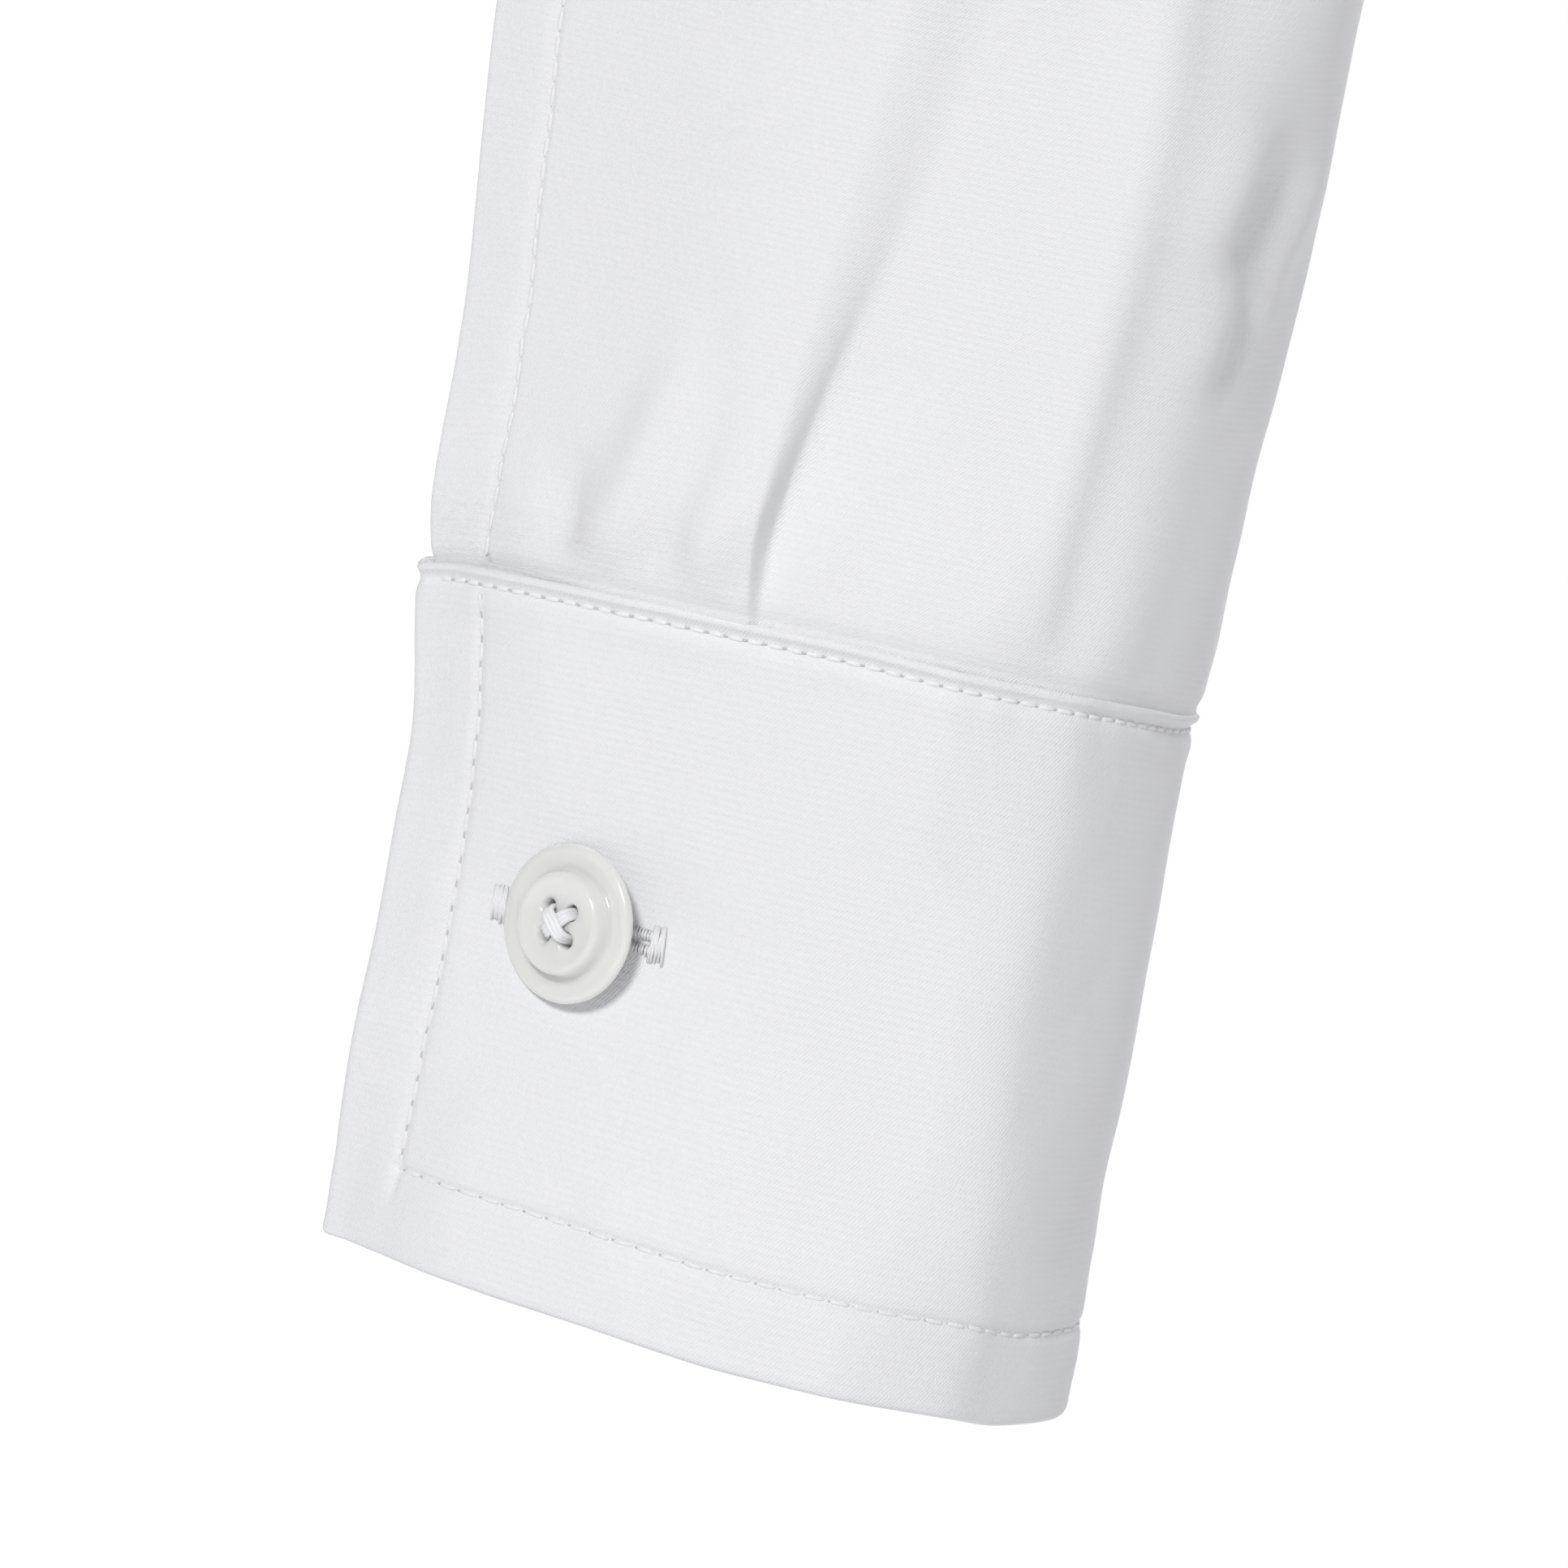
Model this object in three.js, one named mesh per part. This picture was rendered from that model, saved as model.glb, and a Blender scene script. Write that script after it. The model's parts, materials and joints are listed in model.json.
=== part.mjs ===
// A bodysuit shirt: a collared shirt with a buttoned front, long cuffed sleeves and a snap-fastened
// brief, filled out as it is worn with nobody in it. Every piece of cloth is a thin wall.
//
// Units are millimetres and +Z is up. The shirt faces -Y and the wearer's left is +X. The origin is
// midway between the high shoulder points, where the wearer's shoulders carry the shirt.
import * as THREE from "three";

// ---- Driving sizes ----
const SEAM = 0.3; // clear space between two pieces at a seam
const CLOTH = 1.2; // wall of one layer of stretch sateen
const FACED = 2.2; // wall of a faced piece: cuff, collar leaf, front band
const HIP_SEAM_Z = -470; // where the fronts and back meet the brief
const ARMPIT_Z = -190;
const NECK_HALF = 66; // high shoulder point from the centre
const NECK_FRONT_Z = -72;
const NECK_FRONT_Y = -58;
const NECK_BACK_Y = 52;
const SHOULDER = { x: 188, z: -46 }; // shoulder point, where the sleeve begins
const SIDE_HEM = { x: 172, z: -553 }; // top of the leg opening at the side seam
const CUFF_HEIGHT = 54.5;
const ARM_TILT = 14; // degrees out from vertical, shoulder to elbow
const FOREARM_TILT = 10.2; // degrees out from vertical, elbow to cuff
const FOREARM_LEAN = 4; // degrees forward, elbow to cuff
const UPPER_ARM = 245; // joint to elbow
const FOREARM = 215; // elbow to cuff seam
const SLIT = 100; // length of the opening above the cuff
const BAND_HALF = 13; // half the width of the front band

// Body of the shirt at each height: half width at the side seams, and depth to front and back.
const BODY = [
  { z: -560, half: 173, front: 96, back: 113 },
  { z: -520, half: 168, front: 99, back: 110 },
  { z: -470, half: 157, front: 97, back: 98 },
  { z: -430, half: 143, front: 95, back: 86 },
  { z: -385, half: 129, front: 92, back: 77 },
  { z: -320, half: 146, front: 104, back: 86 },
  { z: -255, half: 161, front: 122, back: 96 },
  { z: -190, half: 158, front: 106, back: 101 },
  { z: -120, half: 158, front: 82, back: 98 },
  { z: -72, half: 158, front: 58, back: 84 },
  { z: -6, half: 158, front: 20, back: 52 },
];

// Sleeve sections by distance from the shoulder joint along the arm: half width, half depth, and how
// far the section has gone from an oval to the shape of the buttoned cuff.
const ARM = [
  { at: 140, wide: 53, deep: 55, tear: 0 },
  { at: 245, wide: 45, deep: 46, tear: 0.1 },
  { at: 330, wide: 39.8, deep: 34, tear: 0.55 },
  { at: 390, wide: 36.6, deep: 25.5, tear: 0.95 },
  { at: 416, wide: 35.2, deep: 22.6, tear: 1 },
  { at: 442, wide: 33.6, deep: 20.8, tear: 1 },
  { at: 454, wide: 33.2, deep: 20.2, tear: 1 },
  { at: 460, wide: 32, deep: 19.2, tear: 1 },
];
const CUFF_SIZE = { wide: 32.3, deep: 19.5, tear: 1 };

// Section of the buttoned cuff, from its overlapping end round the front, the inner side and the
// back, and on beneath that end. x runs from the end towards the body and y runs forwards.
const CUFF_SECTION = [
  { x: 0, y: 0 }, // the overlapping end stands off the wrist
  { x: 8, y: 5.4 },
  { x: 16, y: 10 },
  { x: 28, y: 14.6 },
  { x: 41, y: 16.6 },
  { x: 50.5, y: 15.6 },
  { x: 56.5, y: 11 }, // inner front corner
  { x: 61.6, y: 1 },
  { x: 61.3, y: -9 },
  { x: 56, y: -17 },
  { x: 44, y: -21.5 },
  { x: 28, y: -22 },
  { x: 13, y: -18 },
  { x: 5.6, y: -10.5 },
  { x: 4.2, y: -3.5 }, // here it passes beneath the overlapping end
  { x: 9.7, y: 2.6 },
  { x: 17.4, y: 7.2 },
  { x: 28.6, y: 11.6 },
];
const LAP_ROW = 14; // row of the section table that passes beneath the end
const SECTION_CENTRE = { x: 31, y: -2.5 };

// Centre line of the brief from the hip seam to the end of its crotch tab.
const BRIEF_FRONT_LINE = [
  { y: -97, z: -470 },
  { y: -99, z: -520 },
  { y: -95, z: -560 },
  { y: -80, z: -605 },
  { y: -52, z: -640 },
  { y: -20, z: -659 },
  { y: 6, z: -664 },
];
const BRIEF_BACK_LINE = [
  { y: 98, z: -470 },
  { y: 110, z: -520 },
  { y: 113, z: -560 },
  { y: 104, z: -602 },
  { y: 78, z: -637 },
  { y: 40, z: -659 },
  { y: 6, z: -666.4 },
  { y: -24, z: -662.4 },
];
// Leg openings from the side seam to the end of the crotch tab.
const LEG_FRONT_LINE = [
  { x: 172, y: -0.2, z: -553 },
  { x: 158, y: -42, z: -572 },
  { x: 128, y: -62, z: -600 },
  { x: 92, y: -60, z: -624 },
  { x: 60, y: -44, z: -643 },
  { x: 41, y: -20, z: -656 },
  { x: 35, y: 6, z: -661.5 },
];
const LEG_BACK_LINE = [
  { x: 172, y: 0.2, z: -553 },
  { x: 165, y: 44, z: -574 },
  { x: 145, y: 78, z: -603 },
  { x: 110, y: 84, z: -630 },
  { x: 74, y: 66, z: -649 },
  { x: 48, y: 36, z: -661 },
  { x: 35, y: 6, z: -664.2 },
  { x: 37, y: -24, z: -659.4 },
];

// Collar leaf, by angle round the neck from the front: how far its edge falls and stands out.
const LEAF = [
  { angle: 0, fall: 62, out: 30 },
  { angle: 30, fall: 56, out: 32 },
  { angle: 60, fall: 38, out: 34 },
  { angle: 95, fall: 28.5, out: 34 },
  { angle: 140, fall: 37, out: 26 },
  { angle: 180, fall: 43, out: 18 },
];
const STAND_HEIGHT = 27;

const BUTTON = { radius: 6.4, thick: 2.4, bevel: 0.5, holeRadius: 0.85, holeAt: 1.55 };
const SNAP = { radius: 5, thick: 1.6 };
const FRONT_BUTTON_Z = [-110, -172, -234, -296, -358, -420];

// ---- Small helpers ----
const V = (x, y, z) => new THREE.Vector3(x, y, z);
const lerp = THREE.MathUtils.lerp;
const rad = THREE.MathUtils.degToRad;
const mirror = (p) => V(-p.x, p.y, p.z);

// 0 before a, 1 after b, and smooth between.
function ease(value, a, b) {
  const t = THREE.MathUtils.clamp((value - a) / (b - a), 0, 1);
  return t * t * (3 - 2 * t);
}

// Reads a column of a table smoothly, without overshooting its rows.
function reader(table, key, column) {
  const rows = [...table].sort((p, q) => p[key] - q[key]);
  const xs = rows.map((row) => row[key]);
  const ys = rows.map((row) => row[column]);
  const steps = xs.slice(1).map((x, i) => (ys[i + 1] - ys[i]) / (x - xs[i]));
  const slopes = ys.map((_, i) => {
    if (i === 0 || i === ys.length - 1) return steps[Math.min(i, steps.length - 1)];
    const [before, after] = [steps[i - 1], steps[i]];
    return before * after <= 0 ? 0 : (2 * before * after) / (before + after);
  });
  return (at) => {
    const x = THREE.MathUtils.clamp(at, xs[0], xs[xs.length - 1]);
    let i = 0;
    while (i < xs.length - 2 && x > xs[i + 1]) i += 1;
    const width = xs[i + 1] - xs[i];
    const t = (x - xs[i]) / width;
    const [t2, t3] = [t * t, t * t * t];
    return (
      ys[i] * (2 * t3 - 3 * t2 + 1) +
      slopes[i] * width * (t3 - 2 * t2 + t) +
      ys[i + 1] * (3 * t2 - 2 * t3) +
      slopes[i + 1] * width * (t3 - t2)
    );
  };
}

// A smooth line through table rows, read from 0 to 1.
function lineThrough(rows) {
  const curve = new THREE.CatmullRomCurve3(
    rows.map((row) => V(row.x ?? 0, row.y, row.z)),
    false,
    "centripetal",
  );
  return (t) => curve.getPointAt(THREE.MathUtils.clamp(t, 0, 1));
}

const signedPower = (value, power) => Math.sign(value) * Math.abs(value) ** power;

// ---- Walls ----
// Gives a sheet of points and quads a thickness, inwards, and closes its edges. rim(i) may give the
// direction in which point i's wall goes, where two pieces meet at a seam.
function wall(points, quads, thickness, rim = () => null) {
  const normals = points.map(() => V(0, 0, 0));
  for (const [a, b, c, d] of quads) {
    const across = points[c].clone().sub(points[a]);
    const normal = across.cross(points[d].clone().sub(points[b]));
    for (const i of [a, b, c, d]) normals[i].add(normal);
  }
  const count = points.length;
  const inner = points.map((p, i) => {
    const normal = (rim(i, normals[i]) ?? normals[i]).clone().normalize();
    return p.clone().addScaledVector(normal, -thickness);
  });
  const faces = [];
  const edges = new Map();
  const quad = (a, b, c, d) => faces.push(a, b, c, a, c, d);
  for (const [a, b, c, d] of quads) {
    quad(a, b, c, d);
    faces.push(a + count, c + count, b + count, a + count, d + count, c + count);
    for (const [p, q] of [[a, b], [b, c], [c, d], [d, a]]) {
      const back = `${q},${p}`;
      if (edges.has(back)) edges.delete(back);
      else edges.set(`${p},${q}`, [p, q]);
    }
  }
  for (const [p, q] of edges.values()) quad(q, p, p + count, q + count);
  const flat = [...points, ...inner].flatMap((p) => [p.x, p.y, p.z]);
  const geometry = new THREE.BufferGeometry();
  geometry.setAttribute("position", new THREE.Float32BufferAttribute(flat, 3));
  geometry.setIndex(faces);
  return geometry;
}

// A wall over a rows by columns grid. at(row, column) gives the outer point. Columns run so that
// row direction cross column direction points out, or flip turns that round.
function gridWall(rows, columns, at, thickness, { flip = false, rim = null } = {}) {
  const points = [];
  for (let r = 0; r <= rows; r += 1) {
    for (let c = 0; c <= columns; c += 1) points.push(at(r, c));
  }
  const id = (r, c) => r * (columns + 1) + c;
  const quads = [];
  for (let r = 0; r < rows; r += 1) {
    for (let c = 0; c < columns; c += 1) {
      const corners = [id(r, c), id(r + 1, c), id(r + 1, c + 1), id(r, c + 1)];
      quads.push(flip ? corners.reverse() : corners);
    }
  }
  const rimOf = (i, normal) => rim?.(Math.floor(i / (columns + 1)), i % (columns + 1), normal);
  return wall(points, quads, thickness, rimOf);
}

// ---- Body of the shirt ----
const halfAt = reader(BODY, "z", "half");
const frontAt = reader(BODY, "z", "front");
const backAt = reader(BODY, "z", "back");
const SQUARE = 0.87; // 1 gives elliptical sections, and less squarer ones

// A point between the centre line and the edge of a panel, s from 0 to 1, on an arc of turn degrees.
function across(centre, edge, turn, s, swell = 0) {
  const [end, now] = [rad(turn), rad(turn) * s];
  const sideways = (Math.sin(now) / Math.sin(end)) ** SQUARE;
  const depth = (1 - Math.cos(now) ** SQUARE) / (1 - Math.max(Math.cos(end), 0) ** SQUARE);
  return V(
    lerp(centre.x, edge.x, sideways),
    lerp(centre.y, edge.y, depth) + swell * Math.sin(Math.PI * s),
    lerp(centre.z, edge.z, s ** 1.5),
  );
}

// The left armhole: 0 at the armpit, 90 in front, 180 at the shoulder point, 270 behind.
function armhole(degrees) {
  const angle = rad(degrees);
  const hollow = Math.sin(angle) > 0 ? 18 : 12;
  const depth = Math.sin(angle) > 0 ? 58 : 60;
  const rise = (1 - Math.cos(angle)) / 2;
  return V(
    lerp(halfAt(ARMPIT_Z), SHOULDER.x, rise ** 1.6) - hollow * Math.sin(angle) ** 2,
    -depth * Math.sin(angle),
    lerp(ARMPIT_Z, SHOULDER.z, rise),
  );
}

// The neckline: 0 at the front, 90 at the left high shoulder point, 180 at the back.
function neckline(degrees) {
  const angle = rad(degrees);
  const forward = Math.cos(angle);
  const y = forward > 0 ? lerp(6, NECK_FRONT_Y, forward) : lerp(6, NECK_BACK_Y, -forward);
  const z = forward > 0 ? NECK_FRONT_Z * forward ** 1.25 : -6 * forward ** 2;
  return V(NECK_HALF * Math.sin(angle), y, z);
}

const LOWER_ROWS = 11; // hip seam to armpit
const UPPER_ROWS = 12; // armpit to shoulder seam
const BODY_ROWS = LOWER_ROWS + UPPER_ROWS;
const PANEL_COLUMNS = 6;
// Shares of the way from centre to side. The left front has one more, at the edge of the band.
const RIGHT_SHARES = [0, 0.165, 0.33, 0.5, 0.67, 0.835, 1];
const LEFT_SHARES = [0, 0.045, 0.165, 0.33, 0.5, 0.67, 0.835, 1];
const NECK_SHARE = 0.5; // share of the upper rows that end on the centre line, below the neck

// Soft fullness that the bust darts give the left front.
function bustFullness(p) {
  const [x, z] = [(p.x - 80) / 55, (p.z + 250) / 60];
  return 13 * Math.exp(-x * x - z * z);
}

// One row of a left panel: its centre point, its edge point and how far it turns between them.
function bodyRow(facing, row, centreX) {
  const sign = facing === "front" ? -1 : 1;
  const depthAt = facing === "front" ? frontAt : backAt;
  if (row <= LOWER_ROWS) {
    const z = lerp(HIP_SEAM_Z, ARMPIT_Z, row / LOWER_ROWS);
    return { centre: V(centreX, sign * depthAt(z), z), edge: V(halfAt(z), 0, z), turn: 90, swell: 0 };
  }
  const share = (row - LOWER_ROWS) / UPPER_ROWS;
  const edge = armhole(facing === "front" ? 180 * share : 360 - 180 * share);
  const swell = sign * 9 * Math.sin(Math.PI * share);
  const turn = lerp(90, 42, ease(share, 0, 0.6));
  const neckZ = facing === "front" ? NECK_FRONT_Z : -6;
  if (share <= NECK_SHARE) {
    const z = lerp(ARMPIT_Z, neckZ, share / NECK_SHARE);
    return { centre: V(centreX, sign * depthAt(z), z), edge, turn, swell };
  }
  const up = (share - NECK_SHARE) / (1 - NECK_SHARE);
  const start = THREE.MathUtils.radToDeg(Math.asin(centreX / NECK_HALF));
  const angle = facing === "front" ? Math.max(start, 90 * up) : 180 - Math.max(start, 90 * up);
  return { centre: neckline(angle), edge, turn, swell };
}

function bodyPoint(facing, row, s, centreX) {
  const { centre, edge, turn, swell } = bodyRow(facing, row, centreX);
  const p = across(centre, edge, turn, s, swell);
  if (facing === "front") p.y -= bustFullness(p);
  // Pieces stand half a seam's width back from the side and shoulder seams.
  const towards = facing === "front" ? -1 : 1;
  const nearSeam = row <= LOWER_ROWS ? ease(s, 0.9, 1) : ease(row, BODY_ROWS - 1, BODY_ROWS);
  p.y += towards * nearSeam * (SEAM / 2 + 0.05);
  p.z += (SEAM + 0.05) * (1 - ease(row, 0, 0.5));
  return p;
}

// Where a wall meets another at the side or shoulder seam, it goes straight in.
function seamRim(row, atEdge) {
  const sideSeam = atEdge && row <= LOWER_ROWS;
  const shoulderSeam = row === BODY_ROWS;
  if (sideSeam || shoulderSeam) return (normal) => V(normal.x, 0, normal.z);
  return null;
}

function frontPanel(side) {
  const left = side === "left";
  const centreX = left ? -BAND_HALF + 2 : BAND_HALF + SEAM;
  const shares = left ? LEFT_SHARES : RIGHT_SHARES;
  const neckRow = LOWER_ROWS + UPPER_ROWS * NECK_SHARE;
  const at = (row, column) => {
    const p = bodyPoint("front", row, shares[column], left ? 0 : centreX);
    if (left && column === 0 && row <= neckRow) p.x += centreX;
    // The left front's edge passes behind the band.
    const under = left && column < 2 ? 1 - ease(row, neckRow + 1, neckRow + 2) : 0;
    p.y = lerp(p.y, bodyPoint("front", row, 0, 0).y + FACED + SEAM + 0.3, under);
    if (column === 1) p.x = left ? lerp(p.x, BAND_HALF + 2.5, under) : p.x;
    return left ? p : mirror(p);
  };
  const last = shares.length - 1;
  const rim = (row, column, normal) => seamRim(row, column === last)?.(normal) ?? null;
  return gridWall(BODY_ROWS, last, at, CLOTH, { flip: left, rim });
}

function backPanel() {
  const at = (row, column) => {
    const s = (column - PANEL_COLUMNS) / PANEL_COLUMNS;
    const p = bodyPoint("back", row, Math.abs(s), 0);
    return s >= 0 ? p : mirror(p);
  };
  // Near the neck the two halves end on the neckline, so the back is made in one grid per half and
  // joined down the centre line, up to the back neck point.
  const points = [];
  const ids = new Map();
  const idOf = (row, column) => {
    const key = row <= BODY_ROWS ? `${row},${column}` : "";
    if (!ids.has(key)) {
      ids.set(key, points.length);
      points.push(at(row, column));
    }
    return ids.get(key);
  };
  const neckRow = LOWER_ROWS + UPPER_ROWS * NECK_SHARE;
  const halves = new Map();
  // The centre column splits in two above the back neck point.
  const split = (row, column, half) => {
    if (column !== PANEL_COLUMNS || row <= neckRow || half === "left") return idOf(row, column);
    const key = `${row},right`;
    if (!halves.has(key)) {
      halves.set(key, points.length);
      points.push(mirror(bodyPoint("back", row, 0, 0)));
    }
    return halves.get(key);
  };
  const rims = new Map();
  const quads = [];
  for (let row = 0; row < BODY_ROWS; row += 1) {
    for (let column = 0; column < 2 * PANEL_COLUMNS; column += 1) {
      const half = column < PANEL_COLUMNS ? "right" : "left";
      const corners = [
        [row, column],
        [row, column + 1],
        [row + 1, column + 1],
        [row + 1, column],
      ].map(([r, c]) => {
        const i = split(r, c, half);
        rims.set(i, seamRim(r, c === 0 || c === 2 * PANEL_COLUMNS));
        return i;
      });
      quads.push(corners.reverse());
    }
  }
  return wall(points, quads, CLOTH, (i, normal) => rims.get(i)?.(normal) ?? null);
}

// ---- Sleeves and cuffs, made for the left arm ----
const JOINT = V(184, 0, -78);
const UPPER_DIRECTION = V(Math.sin(rad(ARM_TILT)), 0, -Math.cos(rad(ARM_TILT)));
const ELBOW = JOINT.clone().addScaledVector(UPPER_DIRECTION, UPPER_ARM).add(V(0, 6, 0));
const LOWER_DIRECTION = V(
  Math.sin(rad(FOREARM_TILT)),
  -Math.tan(rad(FOREARM_LEAN)),
  -Math.cos(rad(FOREARM_TILT)),
).normalize();
const ELBOW_BEND = 50; // length of arm over which the elbow's bend is spread, each way
const CAP_END = 140; // distance from the joint at which the sleeve is a plain tube
const CUFF_SEAM = UPPER_ARM + FOREARM; // distance from the joint to the cuff

// Centre of the arm at a distance from the joint, and its directions to the body and forwards.
function armFrame(at) {
  const bend = ease(at, UPPER_ARM - ELBOW_BEND, UPPER_ARM + ELBOW_BEND);
  const down = UPPER_DIRECTION.clone().lerp(LOWER_DIRECTION, bend).normalize();
  const upper = ELBOW.clone().addScaledVector(UPPER_DIRECTION, at - UPPER_ARM);
  const lower = ELBOW.clone().addScaledVector(LOWER_DIRECTION, at - UPPER_ARM);
  const inner = V(0, -1, 0).cross(down).normalize();
  if (inner.x > 0) inner.negate();
  const forward = inner.clone().cross(down).normalize();
  if (forward.y > 0) forward.negate();
  return { centre: upper.lerp(lower, bend), inner, forward, down };
}

const wideAt = reader(ARM, "at", "wide");
const deepAt = reader(ARM, "at", "deep");
const tearAt = reader(ARM, "at", "tear");
const sizeAt = (at) => ({ wide: wideAt(at), deep: deepAt(at), tear: tearAt(at) });
const cuffCurve = new THREE.CatmullRomCurve3(
  CUFF_SECTION.map((row) => V(row.x, row.y, 0)),
  false,
  "centripetal",
);
const PARTS = 10 * (CUFF_SECTION.length - 1);
const cuffLengths = cuffCurve.getLengths(PARTS);
const LAP_LENGTH = cuffLengths[10 * LAP_ROW]; // once round the cuff
const FULL_LENGTH = cuffLengths[PARTS];

// A point of a sleeve or cuff section. The share round is 0 at the overlapping end, on the outer
// side, 0.25 in front, 0.5 on the inner side and 1 beneath that end. Where open is 0 the ends meet.
function sectionPoint(at, share, { size = sizeAt(at), open = 1, out = 0 } = {}) {
  const { centre, inner, forward } = armFrame(at);
  const angle = Math.PI * (1 - 2 * share);
  const along = cuffCurve.getPointAt(THREE.MathUtils.clamp((share * LAP_LENGTH) / FULL_LENGTH, 0, 1));
  const shaped = V(
    (along.x - SECTION_CENTRE.x) / CUFF_SIZE.wide,
    (along.y - SECTION_CENTRE.y) / CUFF_SIZE.deep,
    0,
  );
  const fromEnd = Math.min(Math.abs(share), Math.abs(1 - share));
  shaped.lerp(V(-0.93, 0.066, 0), (1 - open) * (1 - ease(fromEnd, 0, 0.1)));
  const p = V(Math.cos(angle), Math.sin(angle), 0).lerp(shaped, size.tear);
  return centre
    .clone()
    .addScaledVector(inner, p.x * (size.wide + out))
    .addScaledVector(forward, p.y * (size.deep + out));
}

const AROUND = 2 * UPPER_ROWS; // columns round a sleeve, one for each row of the armhole
const CAP_ROWS = 4;
const TUBE_STOPS = [168, 200, 232, 264, 296, 328, 360, 369, 391, 413, 435, 453];
const PLEAT = { share: 0.17, drift: 0.045, lift: 2.4, rise: 80, column: 20 };

// How far a pleat laid towards the body lifts the cloth on its outer side.
function pleatLift(above, share) {
  const fade = 1 - ease(above, PLEAT.rise * 0.35, PLEAT.rise);
  const line = PLEAT.share + PLEAT.drift * ease(above, 0, PLEAT.rise);
  return PLEAT.lift * fade * ease(share, line - 0.1, line) * (share > line ? 0 : 1);
}

// Share round of a sleeve's column. Two columns keep to the two sides of the pleat's fold.
function columnShare(above, column) {
  const plain = 1 - column / AROUND;
  const fade = 1 - ease(above, PLEAT.rise * 0.7, PLEAT.rise * 1.3);
  const line = PLEAT.share + PLEAT.drift * ease(above, 0, PLEAT.rise);
  if (column === PLEAT.column) return lerp(plain, line - 0.001, fade);
  if (column === PLEAT.column - 1) return lerp(plain, line + 0.009, fade);
  return plain;
}

// Row 0 of a sleeve is the armhole and the last row is at the cuff.
function sleevePoint(row, column) {
  if (row <= CAP_ROWS) {
    const degrees = 180 + (360 * column) / AROUND; // on round the back from the outer side
    const from = armhole(degrees % 360);
    const to = sectionPoint(CAP_END, 1 - column / AROUND, { open: 0 });
    const reach = from.distanceTo(to);
    const rise = (1 - Math.cos(rad(degrees))) / 2;
    const leave = V(lerp(0.6, 0.95, rise), -0.3 * Math.sin(rad(degrees)), lerp(-0.8, -0.3, rise));
    leave.normalize().multiplyScalar(reach * 1.05);
    const arrive = UPPER_DIRECTION.clone().multiplyScalar(reach * 1.0);
    const t = row / CAP_ROWS;
    const [t2, t3] = [t * t, t * t * t];
    const p = from.multiplyScalar(2 * t3 - 3 * t2 + 1);
    p.addScaledVector(leave, t3 - 2 * t2 + t).addScaledVector(to, 3 * t2 - 2 * t3);
    p.addScaledVector(arrive, t3 - t2);
    return p.addScaledVector(leave.normalize(), (SEAM + 0.15) * (1 - ease(t, 0, 0.5)));
  }
  const at = [...TUBE_STOPS, CUFF_SEAM - SEAM][row - CAP_ROWS - 1];
  const above = CUFF_SEAM - at;
  const open = 1 - ease(above, SLIT - 30, SLIT - 1); // how far the slit's edges have parted
  // The slit's under edge runs on beneath the upper one.
  const under = [1, 0.55, 0.2][column] ?? 0;
  const share = columnShare(above, column) + 0.07 * open * under;
  const tear = tearAt(at);
  const out = pleatLift(above, share) - 3.2 * open * under * (1 - tear);
  return sectionPoint(at, share, { open, out });
}

function sleeve(side) {
  const left = side === "left";
  const rows = CAP_ROWS + TUBE_STOPS.length + 1;
  const slitRow = CAP_ROWS + 1 + TUBE_STOPS.indexOf(CUFF_SEAM - SLIT);
  const points = [];
  for (let row = 0; row <= rows; row += 1) {
    for (let column = 0; column <= AROUND; column += 1) {
      const p = sleevePoint(row, column);
      points.push(left ? p : mirror(p));
    }
  }
  // Above the slit the last column is the first one again.
  const id = (row, column) =>
    row * (AROUND + 1) + (column === AROUND && row <= slitRow ? 0 : column);
  const quads = [];
  for (let row = 0; row < rows; row += 1) {
    for (let column = 0; column < AROUND; column += 1) {
      const corners = [id(row, column), id(row, column + 1), id(row + 1, column + 1), id(row + 1, column)];
      quads.push(left ? corners.reverse() : corners);
    }
  }
  return wall(points, quads, CLOTH);
}

// A cuff is one strip round the wrist, with its under end beneath the other.
const CUFF_COLUMNS = 34;
const CUFF_ROWS = 2;
const CUFF_LAP = 0.145;

function cuff(side) {
  const left = side === "left";
  const at = (row, column) => {
    const share = ((1 + CUFF_LAP) * column) / CUFF_COLUMNS;
    const down = (CUFF_HEIGHT * row) / CUFF_ROWS;
    const p = sectionPoint(CUFF_SEAM + down, share, { size: CUFF_SIZE });
    return left ? p : mirror(p);
  };
  return gridWall(CUFF_ROWS, CUFF_COLUMNS, at, FACED, { flip: left });
}

// ---- Collar ----
const NECK_COLUMNS = 24; // one for each row of the fronts and back along the neckline
const COLLAR_END = 11; // degrees past the centre front at which each end of the stand stops

// The collar runs from the wearer's left end, under, round the back to the right end, on top.
function standPoint(degrees, up, out = 0) {
  const base = neckline(Math.abs(degrees) > 180 ? 360 - Math.abs(degrees) : Math.abs(degrees));
  if (degrees < 0) base.x *= -1;
  const outward = V(Math.sin(rad(degrees)), -Math.cos(rad(degrees)), 0);
  const lean = -3 * (up / STAND_HEIGHT);
  return base.addScaledVector(outward, lean + out).add(V(0, 0, up));
}

function collarStand() {
  const at = (row, column) => {
    const inside = (360 * (column - 1)) / NECK_COLUMNS;
    const degrees = THREE.MathUtils.clamp(inside, -COLLAR_END, 360 + COLLAR_END);
    const under = 1 - ease(degrees, COLLAR_END, COLLAR_END + 16);
    const angle = degrees > 180 ? degrees - 360 : degrees;
    return standPoint(angle, 1.8 + (STAND_HEIGHT * row) / 2, -2.2 - under * (CLOTH + 0.4));
  };
  return gridWall(2, NECK_COLUMNS + 2, at, CLOTH, { flip: true });
}

const fallAt = reader(LEAF, "angle", "fall");
const outAt = reader(LEAF, "angle", "out");
const LEAF_ROWS = 4;
const LEAF_ROLL = 4; // how far the leaf rolls out of the stand before it falls

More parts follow.
